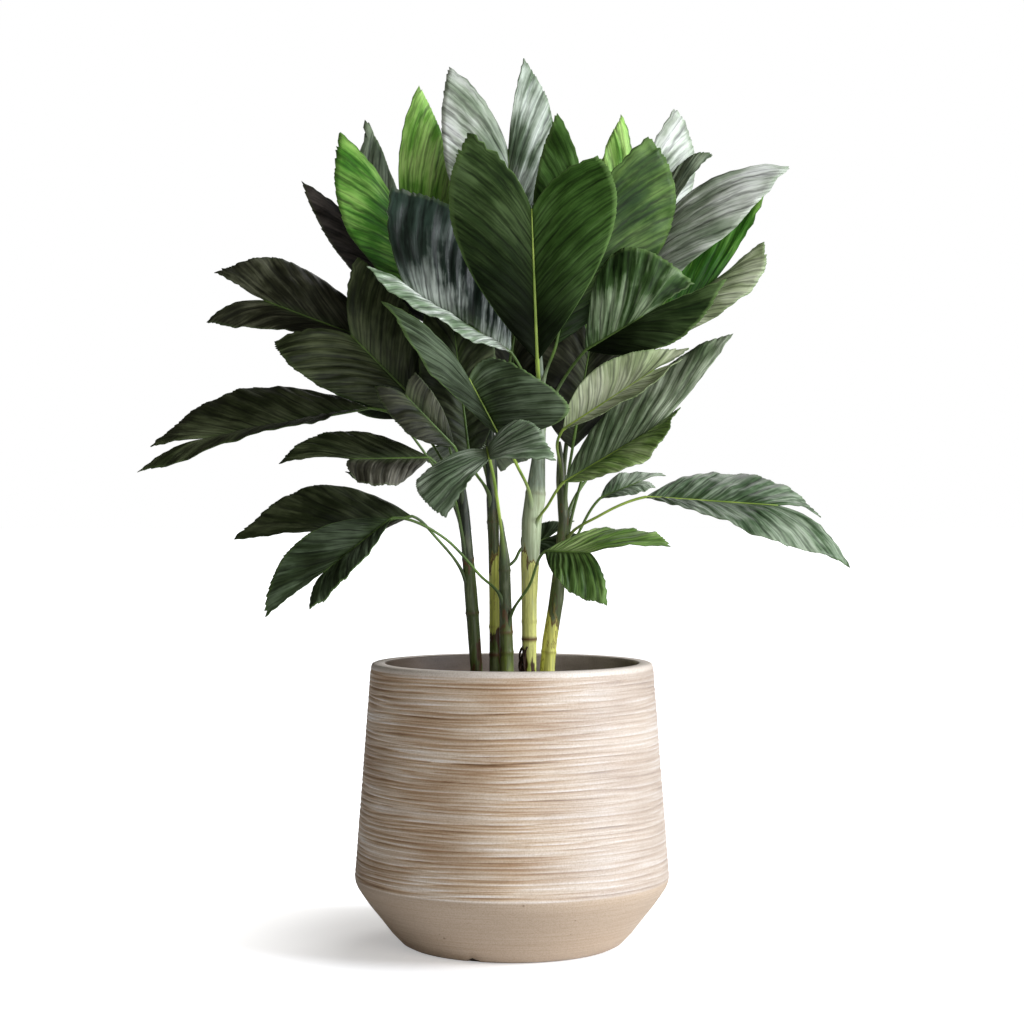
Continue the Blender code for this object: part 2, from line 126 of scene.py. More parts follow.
def grow_tube(bm, centres, widths, heights, side, segments, marks=None):
    """Extrude a ring along a path; marks are kept in the vertex layer called mark."""
    layer = bm.verts.layers.float["mark"]
    last = len(centres) - 1
    steps = []
    for k, centre in enumerate(centres):
        ahead = centres[min(k + 1, last)] - centres[max(k - 1, 0)]
        steps.append(ring_frame(centre, ahead, side, widths[k], heights[k]))
    ring = bmesh.ops.create_circle(bm, cap_ends=True, segments=segments, radius=1.0, matrix=steps[0])["verts"]
    made = set(ring)
    edges = [edge for edge in bm.edges if edge.verts[0] in made and edge.verts[1] in made]
    for k in range(1, last + 1):
        grown = bmesh.ops.extrude_edge_only(bm, edges=edges)["geom"]
        ring = [item for item in grown if isinstance(item, bmesh.types.BMVert)]
        fresh = set(ring)
        edges = [item for item in grown if isinstance(item, bmesh.types.BMEdge)
                 and item.verts[0] in fresh and item.verts[1] in fresh]
        bmesh.ops.transform(bm, matrix=steps[k] @ steps[k - 1].inverted(), verts=ring)
        made.update(ring)
        for vert in ring:
            vert[layer] = marks[k] if marks else 0.0
    bmesh.ops.contextual_create(bm, geom=edges)
    faces = [face for face in bm.faces if all(vert in made for vert in face.verts)]
    bmesh.ops.recalc_face_normals(bm, faces=faces)
    return faces


def make_piece(name, bm, materials, slot, *nodes):
    """Finish a mesh as a piece that rides on the one body and stands for its solids."""
    mesh = bpy.data.meshes.new(name)
    bm.to_mesh(mesh)
    bm.free()
    mesh.shade_smooth()
    piece = bpy.data.objects.new(name, mesh)
    for material in materials:
        mesh.materials.append(material)
    bpy.context.scene.collection.objects.link(piece)
    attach(piece, "root")
    if nodes:
        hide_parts(*nodes)
    return piece


print("helpers ready")

# %% [markdown]
# ## The pot
# The pot is cast fibre clay, glazed cream and wiped so that brown stays in the grooves. The wall
# was combed by hand: long level strokes lie over each other like thin shingles, each with a
# sharp pale lip and a brown line under it. A spun outline gives the round wall, and then each of
# its vertices is pressed in by two sets of such strokes that cross at flat angles. How deep a
# vertex lies is kept, for the glaze to read. Last, the foot's edge is lifted over a drain notch.

# %% Shape of the pot
POT_HEIGHT = 0.338
RIM_RADIUS = 0.1705
WIDEST_RADIUS = 0.190
WIDEST_HEIGHT = 0.079
WALL = 0.018
FLOOR = 0.022
RIM_BAND = 0.006
GROOVE_DEPTH = 0.0016
NOTCH_PLACE = Vector((-0.044, -0.122, 0))
NOTCH_HALF = 0.0075
NOTCH_RISE = 0.0052
FOOT = ((0.1285, 0.0), (0.1345, 0.003), (0.147, 0.016), (0.1585, 0.031), (0.173, 0.049),
        (0.1815, 0.061), (0.1868, 0.069), (0.1893, 0.075))
POT_STEPS = 200
WALL_ROWS = 372


def wall_radius(height):
    """Radius of the smooth wall above the widest line."""
    rise = (height - WIDEST_HEIGHT) / (POT_HEIGHT - WIDEST_HEIGHT)
    return WIDEST_RADIUS - (WIDEST_RADIUS - RIM_RADIUS) * rise


def stroke_depth(place, pitch, seed):
    """How deep one set of strokes is at a place of the wall, from 0 on a lip to 1 under it."""
    slow = noise.noise(Vector((place.x * 4, place.y * 4, place.z * 7 + seed)))
    quick = noise.noise(Vector((place.x * 10, place.y * 10, place.z * 45 + seed)))
    phase = (place.z + 0.0085 * slow + 0.0030 * quick) / pitch
    rise = phase - math.floor(phase)
    depth = 1 - rise / 0.16 if rise < 0.16 else ((rise - 0.16) / 0.84) ** 1.25
    strength = 0.62 + 1.0 * noise.noise(Vector((place.x * 9, place.y * 9, math.floor(phase) * 3.1 + seed)))
    return depth * min(max(strength, 0.15), 1.0)


bm = bmesh.new()
mark = bm.verts.layers.float.new("mark")
top = POT_HEIGHT - RIM_BAND
profile = [(0.0, 0.0), (0.112, 0.0), (0.116, 0.0025), (0.122, 0.0025), (0.1265, 0.0)] + list(FOOT)
for row in range(WALL_ROWS + 1):
    height = WIDEST_HEIGHT + (top - WIDEST_HEIGHT) * row / WALL_ROWS
    profile.append((wall_radius(height), height))
inner = RIM_RADIUS - WALL
profile += [(RIM_RADIUS + 0.0002, top + 0.001), (RIM_RADIUS, POT_HEIGHT - 0.004),
            (RIM_RADIUS - 0.0012, POT_HEIGHT - 0.0012), (RIM_RADIUS - 0.004, POT_HEIGHT),
            (inner + 0.003, POT_HEIGHT), (inner + 0.0008, POT_HEIGHT - 0.0008), (inner, POT_HEIGHT - 0.003)]
for height in (0.30, 0.20, WIDEST_HEIGHT):
    profile.append((wall_radius(height) - WALL, height))
profile += [(0.158, 0.055), (0.128, FLOOR), (0.0, FLOOR)]
points = [bm.verts.new((radius, 0, height)) for radius, height in profile]
for point in points[-8:]:
    point[mark] = -1.0
edges = [bm.edges.new(pair) for pair in zip(points, points[1:])]
bmesh.ops.spin(bm, geom=points + edges, axis=(0, 0, 1), cent=(0, 0, 0), angle=math.tau,
               steps=POT_STEPS, use_merge=True)
bmesh.ops.remove_doubles(bm, verts=bm.verts, dist=1e-6)
bmesh.ops.recalc_face_normals(bm, faces=bm.faces)
for vert in bm.verts:
    radius = math.hypot(vert.co.x, vert.co.y)
    if WIDEST_HEIGHT < vert.co.z < top and vert[mark] >= 0:
        fade = min(1.0, (vert.co.z - WIDEST_HEIGHT) / 0.003, (top - vert.co.z) / 0.002)
        depth = min(stroke_depth(vert.co, 0.0072, 0.0), 0.2 + stroke_depth(vert.co, 0.0104, 40.0))
        depth = 0.75 * depth + 0.35 * stroke_depth(vert.co, 0.0046, 80.0)
        vert[mark] = depth * fade
        push = (0.0006 - GROOVE_DEPTH * depth) * fade
        vert.co += Vector((vert.co.x, vert.co.y, 0)) / radius * push
    beside = (vert.co - NOTCH_PLACE).cross(NOTCH_PLACE.normalized()).z
    if vert.co.z < 0.004 and 0.127 < radius < 0.14 and vert.co.y < 0 and abs(beside) < NOTCH_HALF:
        vert.co.z = max(vert.co.z, NOTCH_RISE * (1 - (beside / NOTCH_HALF) ** 2))
pot_mesh = bm
print("pot faces", len(bm.faces))

# %% [markdown]
# The glaze reads the kept depth: cream on the lips, tan on the slopes and brown where the wipe
# did not reach. Fine level scratches come from a noise squeezed to 1 mm in height, and broad
# clouds keep the wall from looking printed. To the right the glaze is drawn toward a flat grey
# cream, painted light for the side that the lamp washes out. The foot is smooth tan clay with a
# few dark pits. The inside is bare clay, painted darker on its left side as painted shade, and
# the drain notch is painted near black brown as painted shade in its recess.

# %% Finish of the pot
glaze, tree, shader = start_finish("wiped_glaze_on_fibre_clay", 0.55, 1.45)
where = add_node(tree, "TexCoord", {}).outputs["Object"]
depth = add_node(tree, "Attribute", {}, attribute_name="mark").outputs["Fac"]
level = add_node(tree, "Mapping", {"Vector": where, "Scale": (11, 11, 640)}).outputs["Vector"]
scratch = add_node(tree, "TexNoise", {"Vector": level, "Scale": 1.0, "Detail": 5.0,
                                      "Roughness": 0.62}).outputs["Fac"]
broad = add_node(tree, "Mapping", {"Vector": where, "Scale": (7, 7, 22)}).outputs["Vector"]
cloud = add_node(tree, "TexNoise", {"Vector": broad, "Scale": 1.0, "Detail": 3.0}).outputs["Fac"]
grit = add_node(tree, "TexNoise", {"Vector": where, "Scale": 620.0, "Detail": 2.0}).outputs["Fac"]
mixed = add_node(tree, "MixRGB", {"Fac": 0.40, "Color1": depth, "Color2": scratch}).outputs["Color"]
glazed = add_node(tree, "ValToRGB", {"Fac": mixed}, ((0.19, "#f6efea"), (0.29, "#e2d2bf"), (0.44, "#c6a98a"),
                                                    (0.70, "#785a3c"))).outputs["Color"]
worn = add_node(tree, "ValToRGB", {"Fac": cloud}, ((0.34, "#d9cdbf"), (0.60, "#ffffff"))).outputs["Color"]
glazed = add_node(tree, "MixRGB", {"Fac": 1.0, "Color1": glazed, "Color2": worn}, blend_type="MULTIPLY")
axes = add_node(tree, "SeparateXYZ", {"Vector": where})
height, across = axes.outputs["Z"], axes.outputs["X"]
# Painted light: the right side of the glaze is drawn toward a flat grey cream, for the side that the lamp washes out.
thick = add_node(tree, "MapRange", {"Value": across, "From Min": 0.0, "From Max": 0.1, "To Max": 0.5})
glazed = add_node(tree, "MixRGB", {"Fac": thick.outputs["Result"], "Color1": glazed.outputs["Color"],
                                   "Color2": colour("#c2bcb8")})
is_foot = add_node(tree, "MapRange", {"Value": height, "From Min": 0.0805, "From Max": 0.0790}).outputs["Result"]
is_lip = add_node(tree, "MapRange", {"Value": height, "From Min": 0.3315, "From Max": 0.333}).outputs["Result"]
foot_tone = add_node(tree, "ValToRGB", {"Fac": scratch}, ((0.25, "#b9a38c"), (0.7, "#cab8a4"))).outputs["Color"]
pits = add_node(tree, "TexVoronoi", {"Vector": where, "Scale": 62.0, "Randomness": 1.0}).outputs["Distance"]
spare = add_node(tree, "TexNoise", {"Vector": where, "Scale": 21.0}).outputs["Fac"]
pits = add_node(tree, "Math", {0: pits, 1: spare}, operation="ADD").outputs["Value"]
pit = add_node(tree, "MapRange", {"Value": pits, "From Min": 0.50, "From Max": 0.44, "To Max": 0.7})
foot_tone = add_node(tree, "MixRGB", {"Fac": pit.outputs["Result"], "Color1": foot_tone,
                                      "Color2": colour("#7d664f")}).outputs["Color"]
lip_tone = add_node(tree, "ValToRGB", {"Fac": cloud}, ((0.30, "#d6cabd"), (0.62, "#e6ddd3"))).outputs["Color"]
tone = add_node(tree, "MixRGB", {"Fac": is_foot, "Color1": glazed.outputs["Color"], "Color2": foot_tone})
tone = add_node(tree, "MixRGB", {"Fac": is_lip, "Color1": tone.outputs["Color"], "Color2": lip_tone})
inside = add_node(tree, "MapRange", {"Value": depth, "From Min": -0.2, "From Max": -0.8}).outputs["Result"]
bare = add_node(tree, "ValToRGB", {"Fac": cloud}, ((0.36, "#a0938a"), (0.56, "#d6cbc2"))).outputs["Color"]
# Painted shade: the left side of the inside wall is painted darker.
painted_inside_shade = add_node(tree, "MapRange", {"Value": across, "From Min": -0.05, "From Max": 0.06}).outputs["Result"]
painted_inside_shade = add_node(tree, "ValToRGB", {"Fac": painted_inside_shade}, ((0.0, "#867c72"), (1.0, "#ffffff"))).outputs["Color"]
bare = add_node(tree, "MixRGB", {"Fac": 1.0, "Color1": bare, "Color2": painted_inside_shade}, blend_type="MULTIPLY")
tone = add_node(tree, "MixRGB", {"Fac": inside, "Color1": tone.outputs["Color"],
                              "Color2": bare.outputs["Color"]})
# Painted shade: the drain notch is painted near black brown, for the shade in its recess.
from_notch = add_node(tree, "VectorMath", {0: where, 1: NOTCH_PLACE}, operation="SUBTRACT").outputs["Vector"]
from_notch = add_node(tree, "VectorMath", {0: from_notch, 1: (1, 1, 1.7)}, operation="MULTIPLY").outputs["Vector"]
from_notch = add_node(tree, "VectorMath", {0: from_notch}, operation="LENGTH").outputs["Value"]
painted_notch_shade = add_node(tree, "MapRange", {"Value": from_notch, "From Min": 0.0088, "From Max": 0.0068,
                                       "To Max": 0.85})
tone = add_node(tree, "MixRGB", {"Fac": painted_notch_shade.outputs["Result"], "Color1": tone.outputs["Color"],
                                 "Color2": colour("#2c2018")})
sandy = add_node(tree, "ValToRGB", {"Fac": grit}, ((0.3, "#ece8e2"), (0.6, "#ffffff"))).outputs["Color"]
tone = add_node(tree, "MixRGB", {"Fac": 1.0, "Color1": tone.outputs["Color"], "Color2": sandy},
                blend_type="MULTIPLY")
tree.links.new(tone.outputs["Color"], shader.inputs["Base Color"])
bump = add_node(tree, "Bump", {"Height": scratch, "Strength": 0.5, "Distance": 0.0006})
tree.links.new(bump.outputs["Normal"], shader.inputs["Normal"])
pot = make_piece("ribbed_pot", pot_mesh, [glaze], "pot_clay", "pot")
print(pot.name, len(pot.data.polygons))

# %% [markdown]
# ## The soil
# Potting soil is a lumpy bed with loose crumbs on it. A grid disc pressed up and down by noise
# makes the bed, closed below by extruding its edge, and a few hundred small icospheres lie on it.

# %% Soil bed and crumbs
SOIL_TOP = 0.305
SOIL_RADIUS = RIM_RADIUS - WALL - 0.0012
earth, tree, shader = start_finish("damp_potting_soil", 0.92)
where = add_node(tree, "TexCoord", {}).outputs["Object"]
grain = add_node(tree, "TexNoise", {"Vector": where, "Scale": 260.0, "Detail": 5.0}).outputs["Fac"]
tone = add_node(tree, "ValToRGB", {"Fac": grain}, ((0.32, "#17100b"), (0.72, "#4a3829"))).outputs["Color"]
tree.links.new(tone, shader.inputs["Base Color"])
bump = add_node(tree, "Bump", {"Height": grain, "Strength": 0.8, "Distance": 0.001})
tree.links.new(bump.outputs["Normal"], shader.inputs["Normal"])


def soil_height(x, y):
    """The lumpy top of the soil, a little raised in the middle."""
    mound = 0.004 * max(0.0, 1 - (x * x + y * y) / SOIL_RADIUS ** 2)
    return SOIL_TOP + mound + 0.0022 * noise.noise(Vector((x * 40, y * 40, 0)))


bm = bmesh.new()
bm.verts.layers.float.new("mark")
outline = [(0.0, SOIL_TOP)] + [(SOIL_RADIUS * k / 40, SOIL_TOP) for k in range(1, 41)]
outline += [(SOIL_RADIUS, 0.24), (0.0, 0.24)]
points = [bm.verts.new((radius, 0, height)) for radius, height in outline]
edges = [bm.edges.new(pair) for pair in zip(points, points[1:])]
bmesh.ops.spin(bm, geom=points + edges, axis=(0, 0, 1), cent=(0, 0, 0), angle=math.tau, steps=96, use_merge=True)
bmesh.ops.remove_doubles(bm, verts=bm.verts, dist=1e-6)
bmesh.ops.recalc_face_normals(bm, faces=bm.faces)
for vert in bm.verts:
    if vert.co.z > 0.29:
        vert.co.z = soil_height(vert.co.x, vert.co.y)
soil = make_piece("soil_bed", bm, [earth], "soil", "soil")

bm = bmesh.new()
dice = random.Random(11)
for crumb in range(420):
    turn, reach = dice.uniform(0, math.tau), SOIL_RADIUS * 0.96 * math.sqrt(dice.random())
    size = dice.uniform(0.0012, 0.0034)
    x, y = reach * math.cos(turn), reach * math.sin(turn)
    spot = Matrix.Translation((x, y, soil_height(x, y) + size * 0.3))
    spot = spot @ Matrix.Rotation(dice.uniform(0, 3), 4, "X") @ Matrix.Diagonal((1, dice.uniform(0.6, 1), 0.7, 1))
    bmesh.ops.create_icosphere(bm, subdivisions=1, radius=size, matrix=spot)
crumbs = make_piece("soil_crumbs", bm, [earth], "soil")
print(soil.name, crumbs.name, len(crumbs.data.polygons))

# %% [markdown]
# ## The stems
# A palm stem is ringed: each ring is the scar of a fallen leaf, a thin raised ridge with a
# brown line on it. The table gives each stem's middle line and its radii, the same as in its
# solid, and the height and the strength of each ring, all in millimetres. The top tapers into
# the youngest leaf stalks.

# %% Stem table and shape
Stem = namedtuple("Stem", "points radii rings")
STEMS = {
    1: Stem(((-44, -8, 300), (-43, -8, 331), (-49, -9, 413), (-53, -10, 462), (-57, -11, 510), (-62, -12, 572)),
            (7.6, 7.4, 7.8, 7.0, 6.6, 5.6), ((398, 0.3), (463, 0.2))),
    2: Stem(((-21, 14, 300), (-21, 14, 331), (-21, 15, 413), (-22, 15, 470), (-24, 16, 535), (-26, 17, 640)),
            (6.8, 6.6, 6.7, 6.8, 7.2, 5.4), ((346, 0.8), (380, 0.2), (508, 0.2))),
    3: Stem(((-6, -30, 300), (-6, -30, 331), (-8, -31, 413), (-9, -32, 462), (-13, -38, 512)),
            (8.6, 8.4, 7.4, 6.4, 4.6), ((352, 0.2), (376, 0.5), (450, 0.1))),
    4: Stem(((21, 0, 300), (21, 0, 331), (21, 0, 413), (22, 0, 462), (24, 0, 510), (28, 0, 536),
             (32, 0, 583), (34, 0, 640), (34, 0, 716)),
            (8.6, 8.6, 9.2, 11.3, 12.2, 12.4, 8.4, 7.4, 5.6), ((366, 0.9), (387, 0.15), (543, 0.25))),
    5: Stem(((43, 6, 300), (43, 6, 331), (46, 6, 364), (54, 6, 413), (59, 7, 462), (63, 8, 510),
             (60, 10, 559), (58, 12, 607)),
            (9.2, 9.0, 8.9, 8.7, 7.6, 6.6, 6.4, 5.2), ((350, 0.3), (470, 0.2))),
}
RING_SWELL = 0.8


def stem_at(number, height):
    """Centre and radius of a stem at a height, in metres."""
    stem = STEMS[number]
    points, radii = [vec(p) for p in stem.points], [r * MM for r in stem.radii]
    for low, high, r0, r1 in zip(points, points[1:], radii, radii[1:]):
        if height <= high.z:
            break
    part = min(max((height - low.z) / (high.z - low.z), -0.5), 1.0)
    return low.lerp(high, part), r0 + (r1 - r0) * part


def stem_mesh(number):
    """The stem as a tube of rings 2 mm apart, swollen and marked at each leaf scar."""
    bm = bmesh.new()
    bm.verts.layers.float.new("mark")
    tip = STEMS[number].points[-1][2]
    centres, widths, marks = [], [], []
    for row in range(290, tip + 1, 2):
        centre, radius = stem_at(number, row * MM)
        centre.z = row * MM
        near, strength = min((abs(row - ring), strength) for ring, strength in STEMS[number].rings)
        swell = max(0.0, 1 - near / 5.0)
        taper = 0.12 + 0.88 * math.sqrt(min(1.0, (tip - row) / 50.0))
        lump = 0.25 * noise.noise(centre * 60)
        centres.append(centre)
        widths.append((radius + (RING_SWELL * swell ** 2 + lump) * MM) * taper)
        reach = 1.8 + 3 * strength
        marks.append(min(1.0, 1.3 * strength * max(0.0, 1 - near / reach)))
    grow_tube(bm, centres, widths, widths, Vector((1, 0, 0)), 28, marks)
    return bm


print("stems", len(STEMS))

# %% [markdown]
# The bark is smooth and waxy, green with yellow-green low down, and where the lamp reaches the
# lower stems below the crown their tone is painted lighter and yellower still: painted light over
# the bark's own yellow-green. Old leaf bases wrap it like paper: they leave brown torn edges that
# run up the stem, and pale wax between. So each stem has four tones from its patched foot to its
# top, and noises that are long in the stem's own direction draw the fibres, the wax and the brown
# edges.

# %% Finish of the stems
def stem_finish(name, foot, lower, upper, top, foot_height, turn_height, top_height, wax, torn, slant):
    """Waxy green bark whose tone changes at a height, with torn brown edges of old leaf bases."""
    material, tree, shader = start_finish(name, 0.45, 1.4)
    where = add_node(tree, "TexCoord", {}).outputs["Object"]
    scar = add_node(tree, "Attribute", {}, attribute_name="mark").outputs["Fac"]
    fibres = add_node(tree, "Mapping", {"Vector": where, "Scale": (420, 420, 16)}).outputs["Vector"]
    fibre = add_node(tree, "TexNoise", {"Vector": fibres, "Scale": 1.0, "Detail": 3.0}).outputs["Fac"]
    wraps = add_node(tree, "Mapping", {"Vector": where, "Scale": (110, 110, 26)}).outputs["Vector"]
    wrap = add_node(tree, "TexNoise", {"Vector": wraps, "Scale": 1.0, "Detail": 4.0}).outputs["Fac"]
    axes = add_node(tree, "SeparateXYZ", {"Vector": where})
    wobble = add_node(tree, "Math", {0: wrap, 1: 0.09}, operation="MULTIPLY").outputs["Value"]
    raised = add_node(tree, "Math", {0: axes.outputs["Z"], 1: wobble}, operation="ADD").outputs["Value"]
    leaning = add_node(tree, "Math", {0: axes.outputs["X"], 1: slant}, operation="MULTIPLY").outputs["Value"]
    raised = add_node(tree, "Math", {0: raised, 1: leaning}, operation="ADD").outputs["Value"]
    part = add_node(tree, "MapRange", {"Value": raised, "From Min": turn_height + 0.038,
                                       "From Max": turn_height + 0.048})
    seam = add_node(tree, "ValToRGB", {"Fac": part.outputs["Result"]},
                    ((0.0, "#000000"), (0.35, "#ffffff"), (0.9, "#000000"))).outputs["Color"]
    # The lower tone carries painted light: below the turn, the lit stems are painted lighter and yellower than their
    # bark.
    tone = add_node(tree, "MixRGB", {"Fac": part.outputs["Result"], "Color1": colour(lower),
                                     "Color2": colour(upper)}).outputs["Color"]
    low = add_node(tree, "MapRange", {"Value": raised, "From Min": foot_height + 0.046,
                                      "From Max": foot_height + 0.040})
    patch = add_node(tree, "ValToRGB", {"Fac": wrap}, ((0.43, "#4a3018"), (0.49, foot))).outputs["Color"]
    tone = add_node(tree, "MixRGB", {"Fac": low.outputs["Result"], "Color1": tone, "Color2": patch})
    high = add_node(tree, "MapRange", {"Value": axes.outputs["Z"], "From Min": top_height - 0.008,
                                       "From Max": top_height + 0.008})
    tone = add_node(tree, "MixRGB", {"Fac": high.outputs["Result"], "Color1": tone.outputs["Color"],
                                     "Color2": colour(top)}).outputs["Color"]
    streak = add_node(tree, "ValToRGB", {"Fac": fibre}, ((0.3, "#bdbdb2"), (0.62, "#ffffff"))).outputs["Color"]
    tone = add_node(tree, "MixRGB", {"Fac": 1.0, "Color1": tone, "Color2": streak}, blend_type="MULTIPLY")
    waxy = add_node(tree, "MapRange", {"Value": wrap, "From Min": 0.54, "From Max": 0.66, "To Max": wax})
    tone = add_node(tree, "MixRGB", {"Fac": waxy.outputs["Result"], "Color1": tone.outputs["Color"],
                                     "Color2": colour("#c3c9a4")})
    edge = add_node(tree, "ValToRGB", {"Fac": wrap}, ((0.40, "#000000"), (0.43, "#ffffff"), (0.455, "#000000")))
    edge = add_node(tree, "Math", {0: edge.outputs["Color"], 1: torn}, operation="MULTIPLY").outputs["Value"]
    brown = add_node(tree, "Math", {0: edge, 1: scar}, operation="MAXIMUM").outputs["Value"]
    brown = add_node(tree, "Math", {0: brown, 1: seam}, operation="MAXIMUM").outputs["Value"]
    tone = add_node(tree, "MixRGB", {"Fac": brown, "Color1": tone.outputs["Color"], "Color2": colour("#5c3a20")})
    tree.links.new(tone.outputs["Color"], shader.inputs["Base Color"])
    bump = add_node(tree, "Bump", {"Height": fibre, "Strength": 0.4, "Distance": 0.0006})
    tree.links.new(bump.outputs["Normal"], shader.inputs["Normal"])
    return material


# Painted light: the lower tones of stems 2, 4 and 5 and the foot tones of stems 4 and 5 are painted lighter than the
# bark, where the lamp reaches them.
STEM_TONES = {
    1: ("#4f5e28", "#48572a", "#353e26", "#30382d", 0.335, 0.43, 0.490, 0.12, 0.15, 0.5),
    2: ("#5c6c2a", "#dbe06c", "#56623c", "#3c463a", 0.389, 0.487, 0.520, 0.2, 0.4, -0.8),
    3: ("#76863a", "#5c6a32", "#485432", "#4a5a34", 0.345, 0.385, 0.500, 0.15, 0.3, 0.6),
    4: ("#c0ce60", "#f4f694", "#b7c4a0", "#8b9a86", 0.360, 0.487, 0.546, 0.35, 0.2, 0.9),
    5: ("#cfd068", "#e6e678", "#5a673c", "#454c30", 0.340, 0.455, 0.500, 0.2, 0.7, 1.2),
}
for number, tones in STEM_TONES.items():
    bark = stem_finish("waxy_stem_bark_%d" % number, *tones)
    make_piece("ringed_stem_%d" % number, stem_mesh(number), [bark], "cane", "cane_%d" % number)
print("stems made")

# %% [markdown]
# The widest stem stands on a few short roots that it has sent down into the soil from its lowest
# ring. Each is a thin tube that leaves the stem sideways, bends down and ends in the soil.

# %% Roots at the widest stem
root_skin, tree, shader = start_finish("dry_brown_root", 0.85)
where = add_node(tree, "TexCoord", {}).outputs["Object"]
grain = add_node(tree, "TexNoise", {"Vector": where, "Scale": 300.0, "Detail": 3.0}).outputs["Fac"]
tone = add_node(tree, "ValToRGB", {"Fac": grain}, ((0.3, "#1d120c"), (0.7, "#4a3020"))).outputs["Color"]
tree.links.new(tone, shader.inputs["Base Color"])
bm = bmesh.new()
bm.verts.layers.float.new("mark")
for k in range(8):
    turn = math.radians(125 + 17 * k)
    out = Vector((math.cos(turn), math.sin(turn), 0))
    ring_centre, radius = stem_at(4, (0.345 + 0.004 * (k * 5 % 4)))
    beside = Vector((-out.y, out.x, 0))
    path = [ring_centre + out * (radius - 0.001 + 0.006 * t ** 0.5 + 0.0014 * math.sin(9 * t + 2 * k))
            + beside * 0.002 * math.sin(7 * t + 3 * k) - Vector((0, 0, 0.05 * t))
            for t in [step / 12 for step in range(13)]]
    thick = [(0.0012 + 0.0003 * math.sin(k * 2.3 + step)) for step in range(13)]
    grow_tube(bm, path, thick, thick, beside, 6)
roots = make_piece("stem_roots", bm, [root_skin], "cane")
print(roots.name, len(roots.data.polygons))
